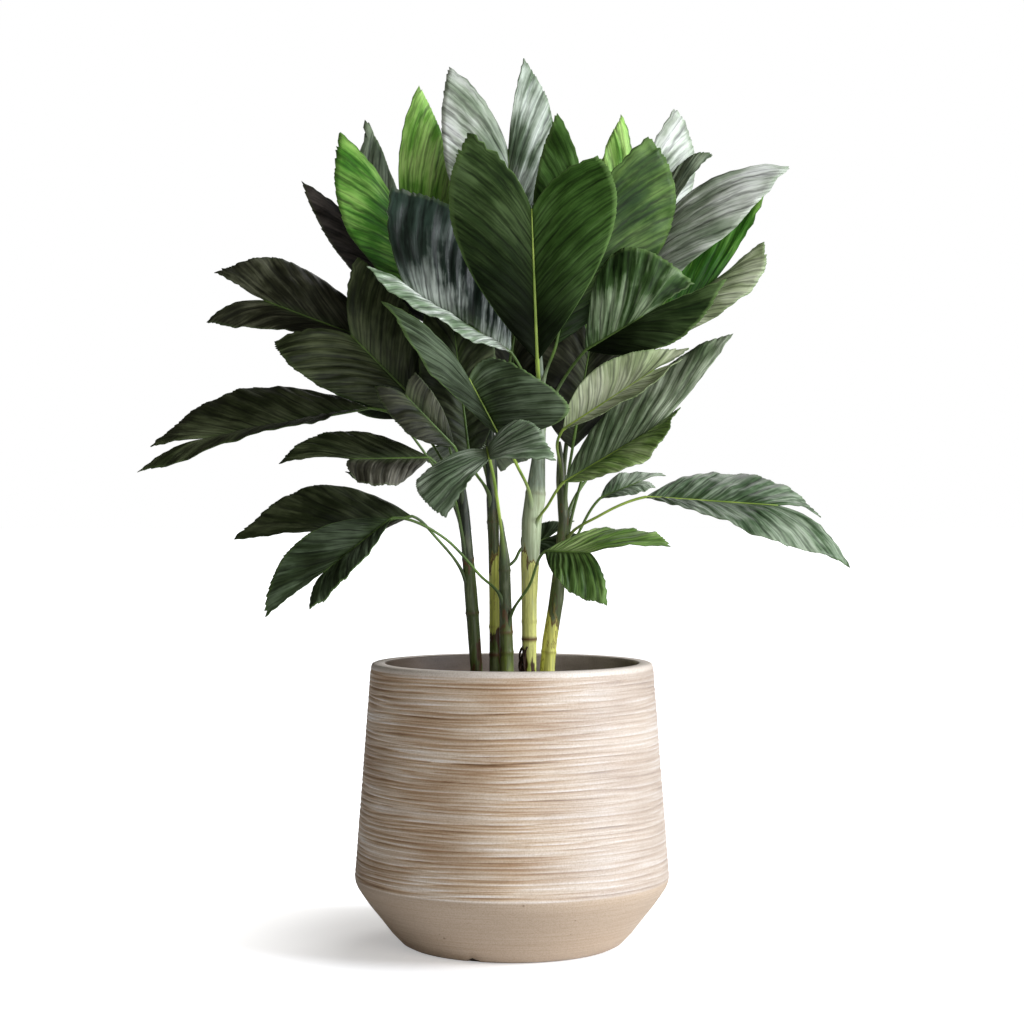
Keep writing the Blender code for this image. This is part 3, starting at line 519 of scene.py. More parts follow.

# %% [markdown]
# ## The fronds
# A metallic palm's frond is not divided into leaflets: two halves join along the midrib and
# part at the notch, like the tail of a fish. Main veins run out from the midrib, the blade is
# pleated between them, and the far margins are toothed. Each row of the table gives a frond's
# stem and root height, the bends of its stalk, its base and notch, and for each half the point
# where the margin stands at half its length, and the tip; then the number of pleats, the finish
# of each half, which carries the painted light or shade of that half, and the height of the
# pleats. Lengths are in millimetres.

# %% Frond table
Frond = namedtuple("Frond", "number stem root via base notch left_wide left_tip right_wide right_tip"
                            " pleats left_finish right_finish fold")
FRONDS = [
    Frond(1, 4, 640, (),
          (30, -62, 698), (23, -84, 876),
          (-67, -98, 843), (-49, -108, 961), (117, -94, 847), (99, -104, 935), 6, "deep", "deeper", 0.9),
    Frond(2, 4, 609, (),
          (-1, -50, 710), (-126, -72, 785),
          (-83, -125, 738), (-171, -110, 805), (-36, -8, 854), (-145, -28, 911), 6, "banded", "steel_blue", 2.0),
    Frond(3, 4, 520, ((4, -75, 579),),
          (-14, -105, 607), (-50, -115, 675),
          (-93, -150, 681), (-148, -135, 765), (64, -146, 639), (-23, -95, 702), 6, "olive", "olive", 1.0),
    Frond(4, 3, 462, ((-20, -95, 552),),
          (-29, -120, 594), (-26, -170, 580),
          (14, -160, 625), (49, -195, 578), (-107, -150, 561), (-75, -185, 514), 6, "sage", "sage", 1.6),
    Frond(5, 2, 612, (),
          (-52, 52, 739), (-137, 75, 891),
          (-193, 38, 851), (-215, 80, 996), (-68, 80, 923), (-118, 110, 1060), 5, "backlit", "glowing", 1.2),
    Frond(6, 1, 548, (),
          (-91, 95, 749), (-187, 125, 873),
          (-205, 105, 828), (-266, 112, 940), (-148, 140, 932), (-184, 155, 1019), 4, "bronze", "bronze", 1.2),
    Frond(7, 2, 590, (),
          (7, 20, 779), (-5, 60, 970),
          (-76, 35, 928), (-79, 85, 1079), (55, 68, 958), (15, 98, 1093), 5, "bright", "silver", 1.4),
    Frond(8, 4, 670, (),
          (53, -24, 721), (88, -14, 882),
          (24, -30, 864), (54, -30, 1000), (190, 8, 857), (165, -5, 975), 5, "deeper", "leaf", 1.4),
    Frond(9, 4, 650, (),
          (90, 50, 739), (148, 80, 923),
          (104, 62, 920), (138, 95, 1020), (221, 95, 906), (205, 115, 1032), 4, "glowing", "bright", 1.4),
    Frond(10, 5, 575, (),
          (105, 25, 737), (197, 35, 894),
          (183, 55, 919), (251, 70, 966), (269, -20, 866), (338, 20, 946), 4, "bright", "bright", 1.6),
    Frond(11, 5, 480, ((87, 20, 565),),
          (137, 75, 720), (253, 85, 808),
          (225, 110, 871), (330, 115, 941), (275, 40, 775), (314, 60, 855), 5, "backlit", "pale", 1.4),
    Frond(12, 4, 620, (),
          (88, -30, 714), (156, -56, 753),
          (123, -40, 831), (216, -62, 791), (184, -66, 717), (255, -60, 796), 4, "streaks", "deep", 2.2),
    Frond(13, 4, 500, ((43, -30, 528),),
          (61, -50, 555), (179, -40, 625),
          (136, -12, 661), (267, -12, 736), (149, -105, 578), (198, -70, 644), 6, "rumpled", "yellow", 1.6),
    Frond(14, 5, 560, (),
          (60, -72, 617), (166, -96, 686),
          (131, -112, 648), (198, -104, 698), (103, -80, 692), (208, -95, 711), 5, "pale", "pale", 0.8),
    Frond(15, 5, 479, ((106, -22, 516),),
          (160, -30, 538), (317, -45, 528),
          (273, 20, 569), (374, -20, 516), (261, -95, 504), (398, -75, 454), 6, "steel", "steel", 1.8),
    Frond(16, 5, 437, ((84, 40, 498),),
          (109, 45, 537), (159, 55, 558),
          (138, 80, 569), (192, 75, 564), (147, 25, 542), (177, 40, 551), 4, "steel", "steel", 1.2),
    Frond(17, 3, 385, ((21, -62, 434),),
          (39, -75, 474), (91, -105, 473),
          (122, -60, 502), (186, -90, 481), (58, -120, 436), (110, -125, 411), 5, "lit", "leaf", 1.8),
    Frond(18, 2, 432, ((4, 50, 461),),
          (12, 58, 475), (47, 68, 489),
          (23, 84, 501), (78, 82, 509), (45, 48, 469), (89, 62, 490), 4, "olive", "olive", 1.2),
    Frond(19, 2, 560, (),
          (-144, 30, 719), (-306, 40, 781),
          (-270, 5, 738), (-375, 22, 751), (-266, 85, 828), (-370, 65, 817), 5, "shade", "shade", 1.6),
    Frond(20, 1, 548, (),
          (-87, -15, 625), (-194, -22, 733),
          (-231, -50, 671), (-284, -35, 726), (-114, 8, 748), (-189, -5, 828), 6, "dark", "dark", 2.0),
    Frond(21, 1, 500, ((-134, -38, 630),),
          (-170, -42, 644), (-364, -45, 608),
          (-277, -95, 615), (-442, -65, 567), (-322, 10, 670), (-435, -20, 598), 6, "dark", "dark", 1.6),
    Frond(22, 1, 470, (),
          (-97, -70, 584), (-190, -90, 582),
          (-143, -125, 549), (-185, -125, 564), (-198, -60, 617), (-275, -75, 578), 5, "brown", "dark", 1.6),
    Frond(23, 1, 432, ((-98, -40, 498),),
          (-119, -50, 515), (-221, -62, 496),
          (-228, -85, 457), (-272, -78, 428), (-237, -20, 551), (-331, -40, 485), 4, "shade", "dark", 1.6),
    Frond(24, 3, 410, ((-38, -60, 445), (-84, -92, 493),),
          (-140, -105, 513), (-218, -124, 450),
          (-176, -150, 458), (-233, -140, 408), (-246, -115, 488), (-285, -128, 398), 4, "olive", "olive", 1.8),
    Frond(25, 2, 530, (),
          (-50, -34, 580), (-69, -18, 733),
          (-108, -30, 664), (-97, -2, 795), (-18, -30, 659), (-36, -2, 789), 5, "dark", "dark", 1.8),
    Frond(26, 1, 542, (),
          (-68, -55, 597), (-126, -70, 658),
          (-125, -88, 614), (-161, -80, 669), (-85, -60, 647), (-115, -68, 685), 4, "shade", "shade", 1.4),
    Frond(27, 5, 530, (),
          (73, -8, 596), (95, 2, 723),
          (33, 0, 673), (60, 10, 788), (156, 3, 697), (163, 12, 776), 5, "shade", "shade", 1.4),
    Frond(28, 2, 540, (),
          (-40, 105, 700), (-75, 195, 835),
          (-140, 170, 815), (-130, 240, 905), (10, 165, 825), (-25, 235, 910), 5, "deep", "leaf", 1.4),
    Frond(29, 5, 540, (),
          (85, 105, 690), (130, 185, 800),
          (60, 170, 790), (95, 245, 880), (190, 165, 780), (200, 225, 860), 5, "leaf", "deep", 1.4),
    Frond(30, 1, 512, (),
          (-125, 80, 640), (-205, 145, 700),
          (-200, 150, 650), (-262, 190, 715), (-150, 160, 740), (-215, 215, 775), 5, "deep", "leaf", 1.4),
    Frond(31, 5, 500, (),
          (115, 95, 590), (160, 160, 645),
          (130, 160, 660), (205, 210, 700), (170, 150, 600), (185, 225, 640), 4, "leaf", "deep", 1.4),
    Frond(32, 4, 655, (),
          (30, 110, 740), (32, 185, 880),
          (-30, 170, 865), (-8, 230, 955), (92, 165, 865), (75, 225, 950), 5, "deep", "leaf", 1.4),
    Frond(33, 2, 470, (),
          (-30, 115, 600), (-48, 200, 615),
          (-110, 190, 600), (-90, 260, 570), (30, 190, 600), (-15, 270, 575), 4, "leaf", "deep", 1.4),
    Frond(34, 2, 575, (),
          (-78, 118, 775), (-150, 148, 865),
          (-172, 148, 820), (-212, 182, 905), (-85, 150, 885), (-132, 192, 950), 5, "deep", "leaf", 1.4),
    Frond(35, 4, 680, (),
          (90, 115, 760), (155, 160, 860),
          (95, 165, 865), (160, 215, 945), (195, 155, 830), (212, 205, 915), 5, "leaf", "deep", 1.4),
    Frond(36, 4, 585, (),
          (2, 42, 626), (2, 50, 733),
          (-47, 24, 717), (-28, 46, 798), (37, 38, 700), (26, 56, 792), 4, "shade", "shade", 1.4),
]
STALK = 1.9 * MM
RIB_BASE = 1.9 * MM
RIB_END = 0.8 * MM
WIDE_RIB = 2.7 * MM
BRIGHT_STALKS = (1, 3, 4, 13, 14, 15)
VEIN_SLANT = 1.45
ARCH = 0.06
BOW = 0.13
BLADE = 0.8 * MM
TOOTH = 2.6 * MM
print("fronds", len(FRONDS))

# %% [markdown]
# A half blade starts as a flat grid. Its long way is the margin, from the base to the tip, and
# its short way is a vein, from the midrib to the margin. Each vertex moves to the place of its
# vein on the real blade, and then along the blade's own normal for the pleats and the waves.

# %% Shape of a half blade
def parabola(start, through, end, t):
    """Point of the parabola that passes through the middle point at one half."""
    control = through * 2 - (start + end) * 0.5
    return start * (1 - t) ** 2 + control * 2 * t * (1 - t) + end * t * t


def ease(low, high, value):
    """A smooth step from 0 to 1 between two limits."""
    t = min(max((value - low) / (high - low), 0.0), 1.0)
    return t * t * (3 - 2 * t)


def half_surface(frond, sign):
    """The smooth middle surface of a half blade, as a function of its two ways."""
    base, notch = vec(frond.base), vec(frond.notch)
    wide, tip = vec(frond.left_wide if sign < 0 else frond.right_wide), vec(
        frond.left_tip if sign < 0 else frond.right_tip)
    along = (notch - base).normalized()
    off = (along.cross(wide - base) * -sign).normalized()

    def at(u, v):
        foot = base.lerp(notch, u ** VEIN_SLANT)
        vein = parabola(base, wide, tip, u) - foot
        length = max(vein.length, 1e-5)
        ahead = along - vein * (along.dot(vein) / length ** 2)
        bulge = 4 * v * (1 - v) * length
        return foot + vein * v + (off * ARCH + ahead * BOW * u ** 1.5) * bulge

    return at, off


def grow_half(bm, frond, sign, rows, columns):
    """Add one half blade to the mesh, with its vein map and its margin mark, and thicken it."""
    veins = bm.loops.layers.uv["veins"]
    mark, reach = bm.verts.layers.float["mark"], bm.verts.layers.float["reach"]
    at, off = half_surface(frond, sign)
    base, tip = at(0, 0), at(1, 1)
    count = frond.pleats * 2
    shift = noise.noise(Vector((frond.number * 3.7, sign * 2.1, 0))) * 3
    grid = bmesh.ops.create_grid(bm, x_segments=rows, y_segments=columns, size=0.5)["verts"]
    place = {}
    for vert in grid:
        place[vert] = (0.02 + 0.98 * (vert.co.x + 0.5), vert.co.y + 0.5)
    faces = [face for face in bm.faces if face.verts[0] in place]
    for face in faces:
        for loop in face.loops:
            u, v = place[loop.vert]
            loop[veins].uv = (u * count, v * (at(u, 1) - at(u, 0)).length / 0.012)
    for vert, (u, v) in place.items():
        spot = at(u, v)
        vein = at(u, 1) - at(u, 0)
        ahead = at(u + 0.01, v) - at(u - 0.01 if u > 0.03 else u, v)
        normal = (ahead.cross(vein) * -sign).normalized()
        if normal.dot(off) < 0.2:
            normal = (normal + off).normalized() if normal.dot(off) > -0.2 else off
        room = min(1.0, vein.length / 0.05)
        drift = u * count + 0.45 * noise.noise(Vector((u * 6, v * 3, frond.number)))
        strength = 0.75 + 0.6 * noise.noise(Vector((math.floor(drift) * 1.7, sign, frond.number)))
        pleat = (0.5 - 0.5 * math.cos(math.tau * drift)) * strength * ease(0.0, 0.25, v) * room
        wave = math.sin(math.tau * (u * 1.7 + shift) + v * 2) * v * v * room * ease(0, 0.5, u)
        crumple = noise.noise(spot * 24 + Vector((frond.number, 0, 0))) + 0.6 * noise.noise(spot * 55)
        ripple = math.sin(math.tau * (u * 4.3 + shift)) * v ** 3 * ease(0.2, 0.7, u)
        lift = pleat * frond.fold + (wave * 2.4 + ripple * 1.5 + crumple * 2.8 * ease(0, 0.3, v)) * room
        spot = spot + normal * lift * MM
        torn = noise.noise(Vector((u * 13, frond.number * 1.3, sign)))
        size = 0.35 + 1.3 * abs(noise.noise(Vector((u * 31, v * 11, frond.number + sign)))) + 2.5 * max(0, torn - 0.2)
        size *= TOOTH * room * (1 + ease(0.75, 1.0, u))
        tooth = (u * count * 3.1 + shift + 1.4 * torn) % 1.0
        spot += vein.normalized() * size * (tooth - 0.5) * ease(0.86, 1.0, v) * ease(0.22, 0.6, u)
        tooth = (v * 11 + shift) % 1.0
        spot += ahead.normalized() * size * (tooth - 0.6) * ease(0.93, 1.0, u) * ease(0.2, 0.6, v)
        vert.co = spot
        vert[mark] = max(ease(0.982, 1.0, v), ease(0.99, 1.0, u))
        vert[reach] = min((spot - base).length / (tip - base).length, 1.0)
    bmesh.ops.recalc_face_normals(bm, faces=faces)
    if faces[len(faces) // 2].normal.dot(off) < 0:
        bmesh.ops.reverse_faces(bm, faces=faces)
    under = bmesh.ops.solidify(bm, geom=faces, thickness=BLADE)["geom"]
    for item in under:
        if isinstance(item, bmesh.types.BMFace):
            item.material_index = 2
    return faces


print("half blade ready")

# %% [markdown]
# The stalk starts deep in the stem, comes to its surface at a narrow angle as a swollen base,
# bows out and runs on as the midrib to the notch. It is one tube, flatter along the blade, and
# its path passes each bend in a smooth span. Its mark is 0 at the stem, for the tone to read.

# %% Shape of a stalk with its midrib
def smooth_path(points, headings, rows):
    """Points along smooth spans through the given points, each passed in its given heading."""
    found = [points[0]]
    for a, b, m, n, count in zip(points, points[1:], headings, headings[1:], rows):
        length = (b - a).length
        for row in range(1, count + 1):
            t = row / count
            found.append(a * (2 * t ** 3 - 3 * t * t + 1) + m * length * (t ** 3 - 2 * t * t + t)
                         + b * (3 * t * t - 2 * t ** 3) + n * length * (t ** 3 - t * t))
    return found


def grow_stalk(bm, frond):
    """Add the stalk and the midrib to the mesh."""
    base, notch = vec(frond.base), vec(frond.notch)
    along = (notch - base).normalized()
    side = (vec(frond.right_wide) - vec(frond.left_wide)).normalized()
    side = (side - along * side.dot(along)).normalized()
    towards = vec(frond.via[0]) if frond.via else base
    deep, _ = stem_at(frond.stem, (frond.root - 26) * MM)
    skin, radius = stem_at(frond.stem, (frond.root + 4) * MM)
    deep.z, skin.z = (frond.root - 26) * MM, (frond.root + 4) * MM
    out = Vector((towards.x - skin.x, towards.y - skin.y, 0)).normalized()
    points = [deep + out * radius * 0.35, skin + out * radius * 0.80]
    points += [vec(bend) for bend in frond.via] + [base]
    rise = (points[1] - points[0]).normalized()
    headings = [rise, (rise + (points[2] - points[1]).normalized() * 0.3).normalized()]
    headings += [(after - before).normalized() for before, after in zip(points[1:], points[3:])]
    headings.append((along * 0.8 + (points[-1] - points[-2]).normalized()).normalized())
    path = smooth_path(points, headings, [8] + [16] * (len(points) - 2))
    stalk_rings = len(path)
    rib = WIDE_RIB if frond.number == 1 else RIB_BASE
    path += [base.lerp(notch, k / 14) for k in range(1, 15)]
    widths, heights = [], []
    for k in range(len(path)):
        if k < stalk_rings:
            share = k / (stalk_rings - 1)
            width = STALK + (rib - STALK) * share + 1.6 * MM * max(0.0, 1 - abs(k - 6) / 9)
            widths.append(width)
            heights.append(width * 0.85)
        else:
            share = (k - stalk_rings + 1) / 14
            widths.append(rib + (RIB_END - rib) * share)
            heights.append((RIB_BASE * 0.9) * (1 - share) + 0.7 * MM * share)
    marks = [ease(6, 20, k) for k in range(len(path))]
    for face in grow_tube(bm, path, widths, heights, side, 10, marks):
        face.material_index = 3


print("stalk ready")

# %% [markdown]
# ## The leaf finishes
# The leaf of this palm is named for its look: a dark green skin with a thin wax, whose reflection
# shows like pewter along the veins; that reflection is painted into the colour as streaks of
# painted sheen. In the shade it is nearly black, with the light behind it it glows yellow-green,
# and its underside is matt and pale. Apart from the undersides, the finishes are lit and shaded
# copies of one leaf, each painted with the light or shade of its half. One function makes them
# all from a dark tone, a body tone and the tone of the painted sheen. The vein map has one unit
# for each pleat, about 12 mm, so the fine veins are about 2 mm apart, and one stronger vein runs
# in each fold. A leaf is painted darkest near its base, as painted shade where it lies closest to
# its neighbours.

# %% Leaf finishes
def leaf_finish(name, dark, body, painted_sheen, painted_sheen_amount, roughness=0.55, painted_base_shade=0.6, ior=1.3, painted_sheen_end=2.0,
                rim=0.2):
    """Waxy leaf skin with fine veins, painted sheen in streaks along them, painted shade at the base and a thin pale
    edge.
    """
    material, tree, shader = start_finish(name, roughness, ior)
    veins = add_node(tree, "UVMap", {}, uv_map="veins").outputs["UV"]
    where = add_node(tree, "TexCoord", {}).outputs["Object"]
    split = add_node(tree, "SeparateXYZ", {"Vector": veins})
    long_way = add_node(tree, "Mapping", {"Vector": veins, "Scale": (1.7, 0.15, 1)}).outputs["Vector"]
    streak = add_node(tree, "TexNoise", {"Vector": long_way, "Scale": 1.0, "Detail": 5.0, "Roughness": 0.58,
                                         "Distortion": 0.35}).outputs["Fac"]
    cloud = add_node(tree, "TexNoise", {"Vector": where, "Scale": 15.0, "Detail": 4.0}).outputs["Fac"]
    hairs = add_node(tree, "Mapping", {"Vector": veins, "Scale": (6.5, 0.3, 1)}).outputs["Vector"]
    fine = add_node(tree, "TexNoise", {"Vector": hairs, "Scale": 1.0, "Detail": 3.0,
                                       "Distortion": 0.3}).outputs["Fac"]
    strong = add_node(tree, "TexWave", {"Vector": veins, "Scale": 0.314, "Distortion": 2.2, "Detail": 2.0},
                      bands_direction="X").outputs["Fac"]
    mix = add_node(tree, "MixRGB", {"Fac": 0.5, "Color1": streak, "Color2": cloud}).outputs["Color"]
    tone = add_node(tree, "ValToRGB", {"Fac": mix}, ((0.38, dark), (0.60, body))).outputs["Color"]
    reach = add_node(tree, "Attribute", {}, attribute_name="reach").outputs["Fac"]
    # Painted sheen: the reflection of the wax is painted into the colour as pale streaks along the veins.
    lit = add_node(tree, "MapRange", {"Value": mix, "From Min": 0.48, "From Max": 0.64, "To Max": painted_sheen_amount})
    fade = add_node(tree, "MapRange", {"Value": reach, "From Min": painted_sheen_end, "From Max": painted_sheen_end - 0.3})
    lit = add_node(tree, "Math", {0: lit.outputs["Result"], 1: fade.outputs["Result"]}, operation="MULTIPLY")
    tone = add_node(tree, "MixRGB", {"Fac": lit.outputs["Value"], "Color1": tone, "Color2": colour(painted_sheen)})
    near_rib = add_node(tree, "MapRange", {"Value": split.outputs["Y"], "From Min": 0.1, "From Max": 1.6,
                                           "To Min": 0.15, "To Max": 0.0}).outputs["Result"]
    tone = add_node(tree, "MixRGB", {"Fac": near_rib, "Color1": tone.outputs["Color"],
                                     "Color2": colour("#6c9440")})
    lines = add_node(tree, "ValToRGB", {"Fac": fine}, ((0.36, "#c2c2c2"), (0.54, "#ffffff"))).outputs["Color"]
    tone = add_node(tree, "MixRGB", {"Fac": 1.0, "Color1": tone.outputs["Color"], "Color2": lines},
                    blend_type="MULTIPLY")
    folds = add_node(tree, "ValToRGB", {"Fac": strong}, ((0.00, "#bcbcbc"), (0.12, "#ffffff"))).outputs["Color"]
    tone = add_node(tree, "MixRGB", {"Fac": 1.0, "Color1": tone.outputs["Color"], "Color2": folds},
                    blend_type="MULTIPLY")
    # Painted shade: the leaf is painted darker toward its base, where its neighbours shade it.
    base = add_node(tree, "MapRange", {"Value": reach, "From Min": 0.20, "From Max": 0.80,
                                       "To Min": painted_base_shade, "To Max": 0.0}).outputs["Result"]
    tone = add_node(tree, "MixRGB", {"Fac": base, "Color1": tone.outputs["Color"], "Color2": colour("#070a04")})
    edge = add_node(tree, "Attribute", {}, attribute_name="mark").outputs["Fac"]
    edge = add_node(tree, "Math", {0: edge, 1: rim}, operation="MULTIPLY").outputs["Value"]
    tone = add_node(tree, "MixRGB", {"Fac": edge, "Color1": tone.outputs["Color"], "Color2": colour("#6d8a4e")})
    tree.links.new(tone.outputs["Color"], shader.inputs["Base Color"])
    gloss = add_node(tree, "MapRange", {"Value": streak, "From Min": 0.3, "From Max": 0.7,
                                        "To Min": roughness - 0.08, "To Max": roughness + 0.10})
    tree.links.new(gloss.outputs["Result"], shader.inputs["Roughness"])
    relief = add_node(tree, "MixRGB", {"Fac": 0.4, "Color1": fine, "Color2": streak}).outputs["Color"]
    bump = add_node(tree, "Bump", {"Height": relief, "Strength": 0.7, "Distance": 0.0009})
    tree.links.new(bump.outputs["Normal"], shader.inputs["Normal"])
    return material


# Apart from the undersides and the young bronze leaf, these finishes are lit and shaded copies of one leaf, painted
# with the light or shade of the half they are given to: in shade, lit, and with light behind. The silver and streaked
# ones are painted reflection of the wax, the pale silver ones through their whole tone.
LEAVES = {
    "shade": leaf_finish("waxed_leaf_in_shade", "#1d1f13", "#42452f", "#787a64", 0.7),
    "dark": leaf_finish("waxed_leaf_dark_green", "#1f2811", "#464f30", "#727c5a", 0.7, painted_base_shade=0.55),
    "olive": leaf_finish("waxed_leaf_olive", "#242e18", "#44543a", "#74836a", 0.7, 0.6, 0.4, 1.2, rim=0.6),
    "deep": leaf_finish("waxed_leaf_deep_green", "#1f3014", "#3e522a", "#586c46", 0.6, 0.65, 0.93, 1.13, rim=0.55),
    "deeper": leaf_finish("waxed_leaf_mid_green", "#2b4717", "#4a6c30", "#62824a", 0.6, 0.65, 0.93, 1.13, rim=0.55),
    "leaf": leaf_finish("waxed_leaf_green", "#1e3c0e", "#4a6c2a", "#7f9e56", 0.6, rim=0.4),
    "streaks": leaf_finish("waxed_leaf_painted_green_sheen", "#182c0f", "#5c8244", "#c0d2ae", 0.9, 0.45, 0.3, rim=0.6),
    "rumpled": leaf_finish("waxed_leaf_rumpled", "#46583a", "#8c9e7a", "#ccd5be", 0.8, 0.5, 0.15),
    "brown": leaf_finish("waxed_leaf_brown_green", "#2c2b20", "#5f5d50", "#a5a193", 0.7, painted_base_shade=0.3),
    "steel": leaf_finish("waxed_leaf_painted_grey_sheen", "#2e4427", "#74906a", "#c4d0ba", 0.8, 0.45, 0.4, 1.36),
    "steel_blue": leaf_finish("waxed_leaf_painted_blue_sheen", "#141e16", "#2f4136", "#d2dcd4", 1.0, 0.42, 0.0, 1.3, 0.74),
    "banded": leaf_finish("waxed_leaf_painted_sheen_bands", "#5f7a55", "#b9c8b0", "#f4f8f2", 0.9, 0.45, 0.2, 1.4),
    "silver": leaf_finish("waxed_leaf_painted_sheen", "#445a3c", "#8fa187", "#dce6d8", 0.9, 0.42, 0.4, 1.4),
    "bright": leaf_finish("waxed_leaf_bright_painted_sheen", "#7c8e72", "#d2ddc8", "#f6f9f3", 0.9, 0.45, 0.4, 1.4),
    "pale": leaf_finish("waxed_leaf_pale_green", "#95a677", "#ccd8ac", "#e8eed2", 0.7, 0.6, 0.1, rim=0.5),
    "sage": leaf_finish("waxed_leaf_grey_green", "#4e6344", "#8ea184", "#c4d0bc", 0.8, 0.5, 0.15, 1.36),
    "lit": leaf_finish("waxed_leaf_yellow_green", "#4a6a28", "#84a555", "#b9cd8d", 0.7, 0.5, 0.2),
    "yellow": leaf_finish("waxed_leaf_light_yellow_green", "#668a3a", "#b0cf7c", "#d9e9b2", 0.7, 0.5, 0.1),
    "backlit": leaf_finish("leaf_with_light_behind", "#2c6212", "#62a036", "#a0ca68", 0.8, 0.55, 0.4),
    "glowing": leaf_finish("leaf_with_strong_light_behind", "#4a8822", "#9ad65a", "#c8ea8e", 0.8, 0.55, 0.4),
    "bronze": leaf_finish("young_bronze_leaf", "#17130f", "#302b25", "#6a625c", 0.6),
}
UNDER = leaf_finish("matt_leaf_underside", "#3a4634", "#66735a", "#98a388", 0.6, 0.6, 0.3)
PALE_UNDER = leaf_finish("pale_leaf_underside", "#95a677", "#ccd8ac", "#e8eed2", 0.7, 0.6, 0.1, rim=0.5)


def stalk_finish(name, low, high, start):
    """Smooth green stalk with cloudy tone, toned like the stem where it starts."""
    material, tree, shader = start_finish(name, 0.45, 1.4)
    where = add_node(tree, "TexCoord", {}).outputs["Object"]
    patch = add_node(tree, "TexNoise", {"Vector": where, "Scale": 30.0, "Detail": 3.0}).outputs["Fac"]
    tone = add_node(tree, "ValToRGB", {"Fac": patch}, ((0.3, low), (0.7, high))).outputs["Color"]
    away = add_node(tree, "Attribute", {}, attribute_name="mark").outputs["Fac"]
    tone = add_node(tree, "MixRGB", {"Fac": away, "Color1": colour(start), "Color2": tone}).outputs["Color"]
    tree.links.new(tone, shader.inputs["Base Color"])
    return material


SHEATHS = {1: "#3d482d", 2: "#56643e", 3: "#465434", 4: "#96a484", 5: "#505a38"}
bright_skins, dull_skins = {}, {}
for number, start in SHEATHS.items():
    bright_skins[number] = stalk_finish("smooth_yellow_green_stalk_%d" % number, "#6f8c34", "#a8bf58", start)
    dull_skins[number] = stalk_finish("smooth_green_stalk_%d" % number, "#3c5222", "#63803a", start)
print("leaf finishes", len(LEAVES))

# %% [markdown]
# Now every frond is put together: two half blades and a stalk in one mesh, with four finishes.
# Fronds behind the crown are seen only from other sides, so they get a coarser grid.

# %% Fronds
triangles = 0
for frond in FRONDS:
    bm = bmesh.new()
    bm.loops.layers.uv.new("veins")
    bm.verts.layers.float.new("mark")
    bm.verts.layers.float.new("reach")
    rows, columns = (120, 18) if frond.number < 28 else (80, 12)
    grow_half(bm, frond, -1, rows, columns)
    for face in grow_half(bm, frond, 1, rows, columns):
        face.material_index = 1
    grow_stalk(bm, frond)
    stalk_skin = (bright_skins if frond.number in BRIGHT_STALKS else dull_skins)[frond.stem]
    under = PALE_UNDER if frond.number in (13, 14) else UNDER
    skins = [LEAVES[frond.left_finish], LEAVES[frond.right_finish], under, stalk_skin]
    leaf = make_piece("fishtail_frond_%02d" % frond.number, bm, skins, "leaf", "frond_%02d" % frond.number)
    triangles += sum(len(face.vertices) - 2 for face in leaf.data.polygons)
print("frond triangles", triangles)

# %% [markdown]
# ## The set
# A plain white floor and a white world, with a large low light on the right, a weak one from the
# front and a weak one from behind, as in a product studio, and a weak warm fill all round. The floor glows a little, least close
# to the pot, so that it is pure white in the distance and keeps a soft shadow beside the pot.

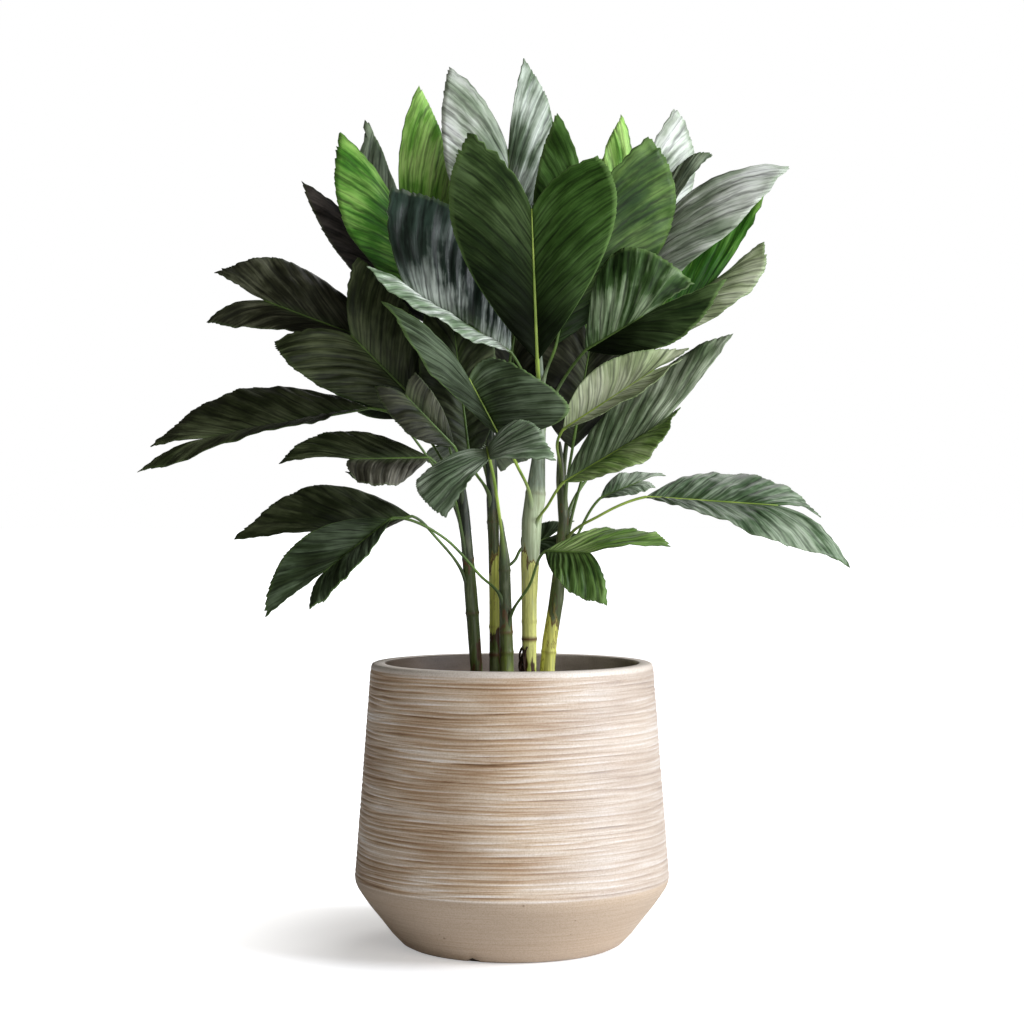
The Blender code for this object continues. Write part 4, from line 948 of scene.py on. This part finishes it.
# %% Floor, lights and world
floor_paint, tree, shader = start_finish("matt_white_floor", 0.9)
where = add_node(tree, "TexCoord", {}).outputs["Object"]
dust = add_node(tree, "TexNoise", {"Vector": where, "Scale": 3.0}).outputs["Fac"]
tone = add_node(tree, "ValToRGB", {"Fac": dust}, ((0.3, "#f2f2f2"), (0.7, "#f5f5f5"))).outputs["Color"]
tree.links.new(tone, shader.inputs["Base Color"])
away = add_node(tree, "VectorMath", {0: where}, operation="LENGTH").outputs["Value"]
glow = add_node(tree, "MapRange", {"Value": away, "From Min": 0.15, "From Max": 0.46, "To Min": 0.38,
                                   "To Max": 1.0}, interpolation_type="SMOOTHSTEP").outputs["Result"]
shader.inputs["Emission Color"].default_value = (1, 1, 1, 1)
seen = add_node(tree, "LightPath", {}).outputs["Is Camera Ray"]
glow = add_node(tree, "Math", {0: glow, 1: seen}, operation="MULTIPLY").outputs["Value"]
tree.links.new(glow, shader.inputs["Emission Strength"])
bm = bmesh.new()
bmesh.ops.create_grid(bm, x_segments=1, y_segments=1, size=60.0)
bmesh.ops.translate(bm, vec=(0, 0, -0.0006), verts=bm.verts)
mesh = bpy.data.meshes.new("floor")
bm.to_mesh(mesh)
bm.free()
mesh.materials.append(floor_paint)
floor = bpy.data.objects.new("floor", mesh)
bpy.context.scene.collection.objects.link(floor)


def area_light(name, place, target, size, power):
    """A square soft light that looks at a point."""
    lamp = bpy.data.lights.new(name, "AREA")
    lamp.shape, lamp.size, lamp.energy = "SQUARE", size, power
    item = bpy.data.objects.new(name, lamp)
    item.location = place
    item.rotation_euler = (Vector(target) - Vector(place)).to_track_quat("-Z", "Y").to_euler()
    bpy.context.scene.collection.objects.link(item)


key = bpy.data.lights.new("key_light", "SUN")
key.energy, key.angle, key.color = 3.5, math.radians(26), (0.96, 1.0, 1.07)
key_item = bpy.data.objects.new("key_light", key)
key_item.rotation_euler = Vector((-1.25, 0.38, -0.58)).to_track_quat("-Z", "Y").to_euler()
bpy.context.scene.collection.objects.link(key_item)
area_light("front_light", (1.2, -2.5, 0.75), (0, 0, 0.45), 1.8, 32)
area_light("back_light", (0.6, 2.2, 2.4), (0, 0, 0.8), 1.6, 22)
world = bpy.data.worlds.new("studio")
world.use_nodes = True
bpy.context.scene.world = world
tree = world.node_tree
fill = tree.nodes["Background"]
fill.inputs["Color"].default_value = (1.0, 0.88, 0.74, 1)
fill.inputs["Strength"].default_value = 0.07
seen = add_node(tree, "Background", {"Color": (1, 1, 1, 1), "Strength": 1.0})
first = add_node(tree, "LightPath", {}).outputs["Is Camera Ray"]
both = add_node(tree, "MixShader", {0: first, 1: fill.outputs[0], 2: seen.outputs[0]})
tree.links.new(both.outputs[0], tree.nodes["World Output"].inputs["Surface"])
bpy.context.scene.view_settings.view_transform = "Standard"
print("lights set")
